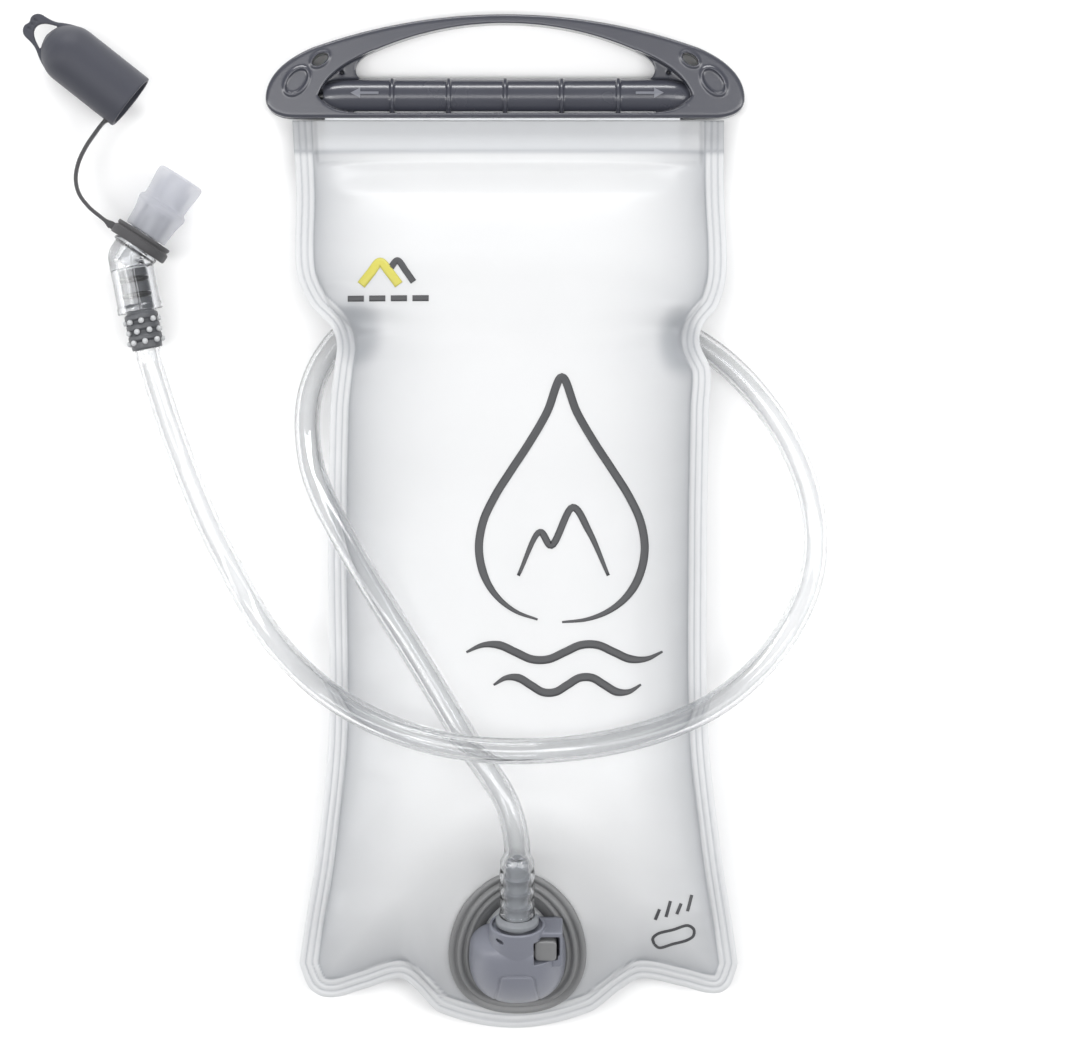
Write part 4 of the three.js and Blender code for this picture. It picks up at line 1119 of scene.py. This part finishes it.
def housing_dome(name, low=-22.35, high=8.6, columns=140):
    """The housing's dome: a row of half ovals along the plug, on the outline inside the flange, with the
    groove of the arch panel in it."""
    rows = []
    for y in np.linspace(low, high, 110):
        nose = math.sqrt(max(0.0, 1 - ((y + 1) / (low + 1)) ** 2)) if y < -1 else 1
        back = max(0.0, (y - 1) / (high - 1))
        rise = max(0.05, 20.3 * nose * (1 - 0.12 * back ** 3))
        half = max(0.4, plan_half(y))
        half -= (half - 9.6) * (1 - math.sqrt(1 - 0.98 * back ** 2))
        row = []
        for k in range(columns):
            angle = math.pi * k / (columns - 1)
            x = half * math.copysign(abs(math.cos(angle)) ** 0.92, math.cos(angle))
            row.append((x, y, HOUSING_BASE + rise * math.sin(angle) ** 0.92))
        rows.append(row)
    points = np.array([p for row in rows for p in row])
    groove = 0.85 * np.exp(-(distance_to(arch(), points[:, 0], points[:, 1]) / 0.42) ** 2)
    points[:, 2] -= groove * (points[:, 2] > HOUSING_BASE + 1.5)
    points *= MM
    faces = quads(len(rows), columns, wrap=True)
    faces += [tuple(range(columns))[::-1], tuple(range(len(points) - columns, len(points)))]
    world = np.array(PORT)
    piece = piece_of(name, points @ world[:3, :3].T + world[:3, 3], faces)
    tidy_mesh(piece)
    return piece


def arch():
    """The panel on the housing's nose: a tall arch that widens to its foot."""
    half = bezier((8.8, -25), (8.3, -18), (7, -12), (6.4, -6), 8)
    half += bezier((6.4, -6), (6.2, -3.4), (4.6, -3), (0, -3), 10)
    return mirrored([*half, (0, -3)])


def port_housing(finish):
    dome = housing_dome("port_housing_moulding")
    mouth = [(0, 2), (9.6, 2), (10.2, 7.4), (10.2, SOCKET_MOUTH), (0, SOCKET_MOUTH)]
    guard = [(12.9, -1.6), (15.6, -1.6), (16.6, -0.6), (16.6, 12.6), (7.6, 12.6), (7.6, 10.3), (12.9, 10.3)]
    seat = [(6, -0.4), (15.4, -0.4), (15.4, 11.6), (6, 11.6)]
    solids = [
        dome,
        lathe("mouth", metres(mouth), PLUG_LINE, radius=0.5 * MM),
        plate("guard", guard, HOUSING_BASE + 3, 17.4, 0.6, PORT),
        plate("seat", seat, HOUSING_BASE, 15.6, 0.8, PORT),
    ]
    half = BUTTON_HALF + 0.4
    quarters = ((-1, -1), (1, -1), (1, 1), (-1, 1))
    well = [(BUTTON_X + side * half, BUTTON_Y + turn * half) for side, turn in quarters]
    slot = [(14.3, BUTTON_Y - 2.6), (15.5, BUTTON_Y - 2.6), (15.5, BUTTON_Y + 5.2), (7, BUTTON_Y + 5.2),
            (10, BUTTON_Y + 3.8), (14.3, BUTTON_Y + 3.8)]
    latch = [(-8, 2.7), (BUTTON_X, 2.7), (BUTTON_X, 5.9), (-8, 5.9)]
    inlet = Matrix.Translation((0, -9 * MM, 0)) @ Matrix.Rotation(math.pi / 2, 4, "X")
    tools = [
        plate("button_well", well, 7, 30, 0, PORT),
        plate("guard_slot", slot, 12, 30, 0, PORT),
        plate("notch", oval(-6.3, 10.6, 1.5, 0.8, -20), 17.6, 30, 0, PORT),
        round_bar("mouth_gap", 9.1, 12.7, 16, PLUG_LINE),
        plate("latch_way", latch, 3.2, 18.2, 0, PORT),
        round_bar("socket", SOCKET_R, -14, 16, PLUG_LINE),
        round_bar("inlet", 4, 0, 12.5, PORT @ inlet),
    ]
    dome = moulded(solids, tools, 0.22 * MM, 3)
    return place(dome, "bag", "housing", finish, "port_housing")


def release_button(finish):
    half = BUTTON_HALF
    face = mirrored([(0, -half)] + arc((half - 1.6, -half + 1.6), 1.6, -90, 0, 6) + arc(
        (half - 1.6, half - 1.6), 1.6, 0, 90, 6) + [(0, half)])
    key = plate("release_button_moulding", [(BUTTON_X + x, BUTTON_Y + y) for x, y in face], BUTTON_TOP - 6,
                BUTTON_TOP, 0.5, PORT)
    latch = plate("latch", [(-7.6, 3), (7.8, 3), (7.8, 5.6), (-7.6, 5.6)], 5.4, BUTTON_TOP - 0.6, 0.2, PORT)
    ways = [
        round_bar("way", SOCKET_R + 0.1, -2, 12, PLUG_LINE @ Matrix.Translation((0, 0, lift * MM)))
        for lift in (-0.1, 1.8)
    ]
    moulded([key, latch], ways, 0.18 * MM, 3)
    return place(key, "button", "housing", finish, "release_button")


def button_spring(finish):
    """The coil under the button, drawn to its installed length."""
    low, high = reach("button_spring", PORT, 2)
    outer = (reach("button_spring", PORT, 0)[1] - reach("button_spring", PORT, 0)[0]) / 2
    wire, turns = 0.28 * MM, 4
    path = []
    for k in range(turns * 20 + 1):
        angle = 2 * math.pi * k / 20
        height = low + wire + (high - low - 2 * wire) * k / (turns * 20)
        around = Vector(((outer - wire) * math.cos(angle), (outer - wire) * math.sin(angle), height))
        path.append(PORT @ (SPRING_FOOT + around))
    piece, _ = sweep("button_spring_coil", path, lambda along: (wire,), 10)
    place(piece, "bag", "spring", finish, "button_spring")
    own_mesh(piece)


def hose_plug(finish):
    profile = [
        (1.9, -4.7), (2.9, -4.7), (2.9, 0.4), (5.1, 0.8), (5.1, 2.7), (3.4, 2.7), (3.4, 5.9), (5.1, 5.9),
        (5.1, 7.6), (3.9, 7.6), (3.9, 9.8), (5.1, 9.8), (5.1, SOCKET_MOUTH + 0.3), (7.9, SOCKET_MOUTH + 0.3),
        (7.9, 16.0), (7.2, 16.6), (6.6, 17.5), (4, 17.5),
    ]
    for ridge in (22, 28, 34):
        profile += [(4, ridge - 2.4), (5.1, ridge), (4, ridge + 0.3)]
    profile += [(4, 38), (3.4, 41), (1.9, 41)]
    piece = lathe("hose_plug_moulding", metres(profile), PLUG_LINE, radius=0.35 * MM)
    return place(piece, "plug", "plug", finish, "hose_plug")


def o_ring(node, matrix, body, finish):
    low, high = reach(node, matrix)
    outer = max(reach(node, matrix, 0)[1], reach(node, matrix, 2)[1])
    thick = (high - low) / 2
    angles = np.radians(range(0, 360, 20))
    profile = [(outer - thick + thick * math.cos(a), (low + high) / 2 + thick * math.sin(a)) for a in angles]
    piece = lathe(node + "_moulding", profile, matrix, radius=0)
    return place(piece, body, "seal", finish, node)


# ---- bite valve ---------------------------------------------------------------------------------
RING_Y = 7.7
NECK_TOP = 20
STEM_LENGTH = 14
BODY_R = 8.1
ELBOW_Y = 20.5


def valve_stem(finish):
    profile = [(2.4, -STEM_LENGTH), (5.5, -STEM_LENGTH), (5.7, -STEM_LENGTH + 0.6), (5.8, -STEM_LENGTH + 2.9)]
    for rib in (-9.4, -5.4, -1.6):
        profile += [(5.2, rib - 1.6), (6.3, rib - 1.0), (6.3, rib + 0.6), (5.4, rib + 1.2)]
    profile += [(5.1, -0.3)]
    for groove in (5, 11):
        profile += [(5.1, groove), (3.7, groove), (3.7, groove + 2.2), (5.1, groove + 2.2)]
    profile += [(5.1, 16), (2.4, 16)]
    piece = lathe("valve_stem_moulding", metres(profile), VALVE, radius=0.35 * MM)
    return place(piece, "bag", "stem", finish, "valve_stem")


def stem_glint_studs(finish):
    """Three rings of small pale studs in the stem's ribs: painted highlights, standing for the glints on the
    ribs.
    """
    glint_studs = None
    for row, y in enumerate((-11.2, -7.3, -3.4)):
        for k in range(8):
            angle = 2 * math.pi * (k + 0.5 * (row % 2)) / 8
            spot = Vector((6.1 * math.cos(angle), y, 6.1 * math.sin(angle))) * MM
            profile = [(0, -1.15), (0.85, -0.8), (1.15, 0), (0.85, 0.8), (0, 1.15)]
            stand = VALVE @ Matrix.Translation(spot)
            glint_stud = lathe("stem_glint_studs", metres(profile), stand, radius=0.3 * MM, sides=16)
            glint_studs = glint_stud if glint_studs is None else joined(glint_studs, glint_stud)
    return place(glint_studs, "bag", "valve", finish)


def round_bar(name, r, low, high, matrix, radius=0.0):
    return lathe(name, metres([(0, low), (r, low), (r, high), (0, high)]), matrix, radius=radius * MM)


def valve_body(finish):
    ball = [(BODY_R * math.cos(a), ELBOW_Y + BODY_R * math.sin(a)) for a in np.radians(range(-80, 81, 10))]
    ball = [(0, ELBOW_Y - BODY_R), *ball, (0, ELBOW_Y + BODY_R)]
    solids = [
        round_bar("valve_body_moulding", BODY_R, 0.1, ELBOW_Y, VALVE, 0.4),
        round_bar("foot", BODY_R + 0.35, 0, 2.4, VALVE, 0.4),
        lathe("knuckle", metres(ball), VALVE, radius=0),
        round_bar("upper", BODY_R, 0, RING_Y + 2.6, NECK, 0.3),
        round_bar("lip", BODY_R + 0.9, RING_Y - 4.6, RING_Y - 3.3, NECK, 0.4),
        round_bar("spigot", 5.8, 0, NECK_TOP, NECK, 0.4),
    ]
    tools = [
        round_bar("barrel", 5.7, -1, 17, VALVE),
        round_bar("core", 3.4, 15, ELBOW_Y, VALVE),
        round_bar("passage", 3.4, -3, NECK_TOP + 1, NECK),
    ]
    body = moulded(solids, tools, 0.25 * MM)
    return place(body, "valve", "valve", finish, "valve_body")


def bite_valve(finish):
    base, tip = RING_Y + 2.9, RING_Y + 28
    profile = [
        (6.1, base), (8.3, base), (8.8, base + 6.4), (9.4, base + 9.6), (9.9, base + 10.8),
        (9.6, base + 12.2), (8.5, base + 13), (8.5, base + 15),
        (9.2, tip - 3), (9.2, tip - 0.9), (8.2, tip), (0, tip - 1.2), (0, tip - 3),
        (6.4, tip - 4), (6.4, NECK_TOP + 2), (6.1, NECK_TOP),
    ]
    piece = lathe_open("bite_valve_moulding", profile, NECK, 0.6)
    slit = [(-4.5, tip - 6), (4.5, tip - 6), (4.5, tip + 1), (-4.5, tip + 1)]
    combine(piece, plate("slit", slit, -0.2, 0.2, 0, NECK))
    crisp(piece, 50)
    return place(piece, "mouthpiece", "silicone", finish, "bite_valve")


def lathe_open(name, profile, matrix, radius):
    """A hollow that is closed at the axis: the profile runs out, to the axis and back inside."""
    turn = profile.index(next(p for p in profile if p[0] == 0))
    outer = profile[:turn + 1]
    inner = profile[turn + 1:]
    rounded = fillet(metres(outer), radius * MM, 4, closed=False) + [Vector(p) for p in metres(inner)]
    return lathe(name, [tuple(p) for p in rounded], matrix, radius=0)


def tether_ring(finish):
    inner, outer = BODY_R + 0.3, 11.6
    profile = [
        (inner, RING_Y - 3.1), (outer - 0.3, RING_Y - 3.1), (outer, RING_Y - 2.4), (outer, RING_Y + 0.2),
        (outer - 0.9, RING_Y + 0.7), (outer - 1.0, RING_Y + 0.9), (outer - 0.5, RING_Y + 1.4),
        (outer - 0.6, RING_Y + 2.5), (inner, RING_Y + 2.5),
    ]
    piece = lathe("tether_ring_moulding", metres(profile), NECK, radius=0.4 * MM)
    lug = Matrix.Translation((-(outer + 0.3) * MM, (RING_Y - 1.2) * MM, 0))
    tab = plate("lug", oval(0, 0, 2.4, 1.4, 0), -2.3, 2.3, 0.4, NECK @ lug)
    combine(piece, tab, "UNION")
    return place(piece, "tether", "tether", finish, "tether_ring")


STRAP_ROUTE = [
    (-0.1463, 0.1099, 0.012), (-0.15, 0.1128, 0.012), (-0.1545, 0.1166, 0.012), (-0.1582, 0.1216, 0.012),
    (-0.1594, 0.127, 0.012), (-0.1584, 0.133, 0.012), (-0.1556, 0.139, 0.012), (-0.1522, 0.144, 0.012),
    (-0.1498, 0.1472, 0.012), (-0.1474, 0.1496, 0.012),
]


def cap_strap(finish):
    """The strap stands on edge: thin across its route, wide up and down, with thickened ends."""
    path = curve_through(STRAP_ROUTE, 8)
    rows, last = [], len(path) - 1
    for i, point in enumerate(path):
        tangent = (path[min(i + 1, last)] - path[max(i - 1, 0)]).normalized()
        across = Vector((-tangent.y, tangent.x, 0))
        swell = 1 + 1.1 * math.exp(-(min(i, last - i) / 3) ** 2)
        ring = []
        for k in range(24):
            angle = 2 * math.pi * k / 24
            c, d = math.cos(angle), math.sin(angle)
            wide = math.copysign(abs(c) ** 0.5, c) * 0.72 * MM * swell
            tall = math.copysign(abs(d) ** 0.5, d) * 2.25 * MM
            ring.append(point + across * wide + Vector((0, 0, tall)))
        rows.append(ring)
    points = [p for ring in rows for p in ring]
    faces = quads(len(rows), 24, wrap=True)
    faces += [tuple(range(24))[::-1], tuple(range(len(points) - 24, len(points)))]
    piece = piece_of("cap_strap", points, faces)
    tidy_mesh(piece)
    place(piece, None, "tether", finish, "tether_strap_ring_half", "tether_strap_cap_half")
    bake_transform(piece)
    return piece


def dust_cap(finish):
    profile = [
        (9.7, 0), (11.05, 0), (11.05, 29), (10.6, 31.6), (9.4, 34.2), (7.4, 36.8), (4.6, 39), (0, 40),
        (0, 38), (5, 36), (8.4, 32), (9.7, 28),
    ]
    body = lathe_open("dust_cap_moulding", profile, CAP, 1.2)
    half = bezier((10.9, 26), (11, 31), (9.6, 35), (6.6, 39.5), 14)
    half += bezier((6.6, 39.5), (5.6, 41.5), (5.4, 43.4), (5.3, 45), 8)
    half += bezier((5.3, 45), (5.2, 48), (3, 49), (1.1, 48.6), 10)
    tab = plate("loop", mirrored([(0, 26), *half, (0.6, 48.2), (0, 48.0)]), -1.5, 1.5, 0.6, CAP)
    hole = mirrored([(0, 40)] + bezier((0, 40), (2.4, 39.8), (4.4, 39), (5.9, 37.6), 10) + bezier(
        (5.9, 37.6), (4.4, 40.6), (3.4, 44.8), (0, 45), 10) + [(0, 45)])
    combine(tab, plate("hole", hole, -4, 4, 0, CAP))
    combine(tab, round_bar("inside", 9.9, -1, 28, CAP))
    grooves = [plate("groove", oval(x, 46.6, 0.4, 1.1, 0, 16), 1.0, 4, 0, CAP) for x in (-2, 0, 2)]
    body = moulded([body, tab], grooves, 0.26 * MM, 3)
    return place(body, "cap", "cap", finish, "dust_cap")


# ---- prints on the film -------------------------------------------------------------------------
PRINT_LIFT = 0.12 * MM


def surface_under(piece):
    """Height of a piece's top surface, as a function of X and Y in metres."""
    mesh = piece.data
    tree = BVHTree.FromPolygons([v.co[:] for v in mesh.vertices], [p.vertices[:] for p in mesh.polygons])

    def height(x, y):
        hit = tree.ray_cast(Vector((x, y, 1)), Vector((0, 0, -1)))[0]
        return hit.z if hit else 0

    return height


def stroke(points, widths, height):
    """A strip of ink along a curve through points, in millimetres, laid on the film."""
    path = curve_through([(x, y, 0) for x, y in points], 10)
    last = len(path) - 1
    top, low = [], []
    for i, point in enumerate(path):
        tangent = (path[min(i + 1, last)] - path[max(i - 1, 0)]).normalized()
        across = Vector((-tangent.y, tangent.x, 0))
        share = i / last
        width = np.interp(share, np.linspace(0, 1, len(widths)), widths)
        rows = []
        for side in (-0.5, -0.17, 0.17, 0.5):
            spot = (point + across * width * side) * MM
            rows.append(Vector((spot.x, spot.y, height(spot.x, spot.y))))
        top.append([tuple(p + Vector((0, 0, PRINT_LIFT))) for p in rows])
        low.append([tuple(p + Vector((0, 0, PRINT_LIFT / 3))) for p in rows])
    return np.array(top), np.array(low)


def ink(name, strokes, height, finish):
    """One printed mark of several strokes, each a list of points and the widths along it."""
    mark = None
    for points, widths in strokes:
        top, low = stroke(points, widths, height)
        strip = shell(name, top, low)
        tidy_mesh(strip)
        mark = strip if mark is None else joined(mark, strip)
    return place(mark, "bag", "film", finish)


def drop_outline(x, y, size):
    """A drop standing on its round end, in millimetres."""
    half = bezier((0, -1), (0.62, -1), (0.98, -0.62), (0.98, -0.1), 6)
    half += bezier((0.98, -0.1), (0.98, 0.5), (0.3, 1.0), (0, 1.9), 6)
    return [(x + size * px, y + size * py) for px, py in mirrored([*half, (0, 1.9)])]


def wave(x, y, width, rise, count=2, steps=13):
    """A run of waves from x to x + width."""
    share = np.linspace(0, 1, steps)
    return [(x + width * t, y + rise * math.sin(2 * math.pi * count * t)) for t in share]


def film_prints(height, dark, bright):
    """A drop over hills and waves, a small two-peak mark with a dashed bar, and a level mark."""
    taper = [0.8, 3, 3, 3, 3, 3, 0.8]
    hills = [(5, -20), (13, -4), (17, -9), (25, 5), (31, -4), (38, -20)]
    ink("drop_print", [(drop_outline(21, -6, 31), taper)], height, dark)
    ink("hills_print", [(hills, [1.2, 2.6, 2.6, 2.6, 1.2])], height, dark)
    waves = [(wave(x, y, width, 3), taper) for x, y, width in ((-14, -48, 72), (-4, -60, 54))]
    ink("wave_print", waves, height, dark)
    bright_peak = [(-53, 87), (-49.4, 91.5), (-46, 95.4), (-42.4, 91.5), (-39, 87)]
    dark_peak = [(-42, 93.4), (-39.6, 96), (-36.4, 92), (-33.6, 88)]
    ink("peak_mark_bright", [(bright_peak, [3.4, 3.4])], height, bright)
    ink("peak_mark_dark", [(dark_peak, [2.4, 2.4])], height, dark)
    dashes = [([(x, 82), (x + 3, 82), (x + 6, 82)], [2.2, 2.2]) for x in (-58, -50, -42, -34)]
    ink("dash_mark", dashes, height, dark)
    pill = [
        (55.2, -156.5), (54.6, -154.2), (56.4, -152.4), (62, -150.9), (67.6, -149.4), (69.8, -151),
        (69.6, -153.4), (67.4, -154.9), (62, -156.4), (57, -157.8), (55.2, -156.5),
    ]
    ticks = [([(x, y), (x + 0.8, y + size / 2), (x + 1.6, y + size)], [1.2, 1.2])
             for x, y, size in ((55.4, -147, 4), (59.4, -146, 6), (63.4, -145, 4), (67.4, -144, 6))]
    ink("level_mark", [(pill, [1.1, 1.1]), *ticks], height, dark)


# ---- assembly -----------------------------------------------------------------------------------
SLATE = (0.046, 0.048, 0.062)
GREY = (0.19, 0.192, 0.195)
LAVENDER = (0.175, 0.182, 0.215)

camera()
film = film_material()
rail_finish = moulded_plastic("milky_rail", (0.80, 0.82, 0.84), 0.4)
slate = moulded_plastic("slate_plastic", SLATE, 0.26, coat=0.45)
mark_finish = moulded_plastic("mark_plastic", (0.15, 0.155, 0.18), 0.35)
flange_finish = moulded_plastic("grey_plastic", GREY, 0.42)
housing_finish = moulded_plastic("lavender_plastic", LAVENDER, 0.36)
button_finish = moulded_plastic("button_plastic", GREY, 0.4)
plug_finish = moulded_plastic("plug_plastic", (0.20, 0.21, 0.225), 0.36)
stem_finish = moulded_plastic("stem_plastic", (0.075, 0.078, 0.085), 0.42)
# pale studs on the stem's ribs: painted highlights standing for glints
glint_stud_finish = moulded_plastic("glint_stud_plastic", (0.46, 0.47, 0.48), 0.3)
seal_finish = soft_rubber("seal_rubber", (0.012, 0.012, 0.013), 0.45)
tether_finish = soft_rubber("tether_rubber", (0.055, 0.054, 0.057))
cap_finish = soft_rubber("cap_rubber", (0.042, 0.044, 0.058), 0.56)
charcoal = moulded_plastic("charcoal_ink", (0.055, 0.056, 0.06), 0.5, 0.008 * MM)
lime = moulded_plastic("lime_ink", (0.50, 0.46, 0.085), 0.5, 0.008 * MM)
# the second colour of each clear plastic is the painted shade at its edges
tube_finish = clear_plastic("clear_tube", (0.9, 0.905, 0.91), (0.36, 0.37, 0.385), 0.06, 1.42)
body_finish = clear_plastic("clear_valve", (0.82, 0.83, 0.845), (0.30, 0.31, 0.325), 0.04, 1.49)
mouth_finish = silicone()
steel = spring_steel()

front = film_panel("front_film", True, film)
back = film_panel("back_film", False, film)
seal_rail("front_seal_rail", 1, rail_finish)
seal_rail("back_seal_rail", -1, rail_finish)
slider_handle(slate)
wrapped_mark("closing_arrow", arrow(-52, -1), mark_finish)
wrapped_mark("opening_arrow", arrow(53.5, 1), mark_finish)
port_flange(flange_finish)
port_housing(housing_finish)
release_button(button_finish)
button_spring(steel)
hose_plug(plug_finish)
o_ring("plug_o_ring", PLUG_LINE, "plug", seal_finish)
o_ring("stem_o_ring_lower", VALVE, "bag", seal_finish)
o_ring("stem_o_ring_upper", VALVE, "bag", seal_finish)
stem = valve_stem(stem_finish)
glint_studs = stem_glint_studs(glint_stud_finish)
body = valve_body(body_finish)
mouth = bite_valve(mouth_finish)
ring = tether_ring(tether_finish)
strap = cap_strap(tether_finish)
cap = dust_cap(cap_finish)
for node, finish in (
    ("port_seal", seal_finish), ("check_poppet", plug_finish), ("poppet_spring", steel),
):
    kept = frame["nodes"][node]
    kept.data.materials.clear()
    kept.data.materials.append(finish)

film_prints(surface_under(front), charcoal, lime)
tube, tube_path, tube_length = drinking_tube(tube_finish)
studio()
tuple(tube_path[0])
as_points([tuple(p) for p in tube_path[::4]] + [tuple(tube_path[-1])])
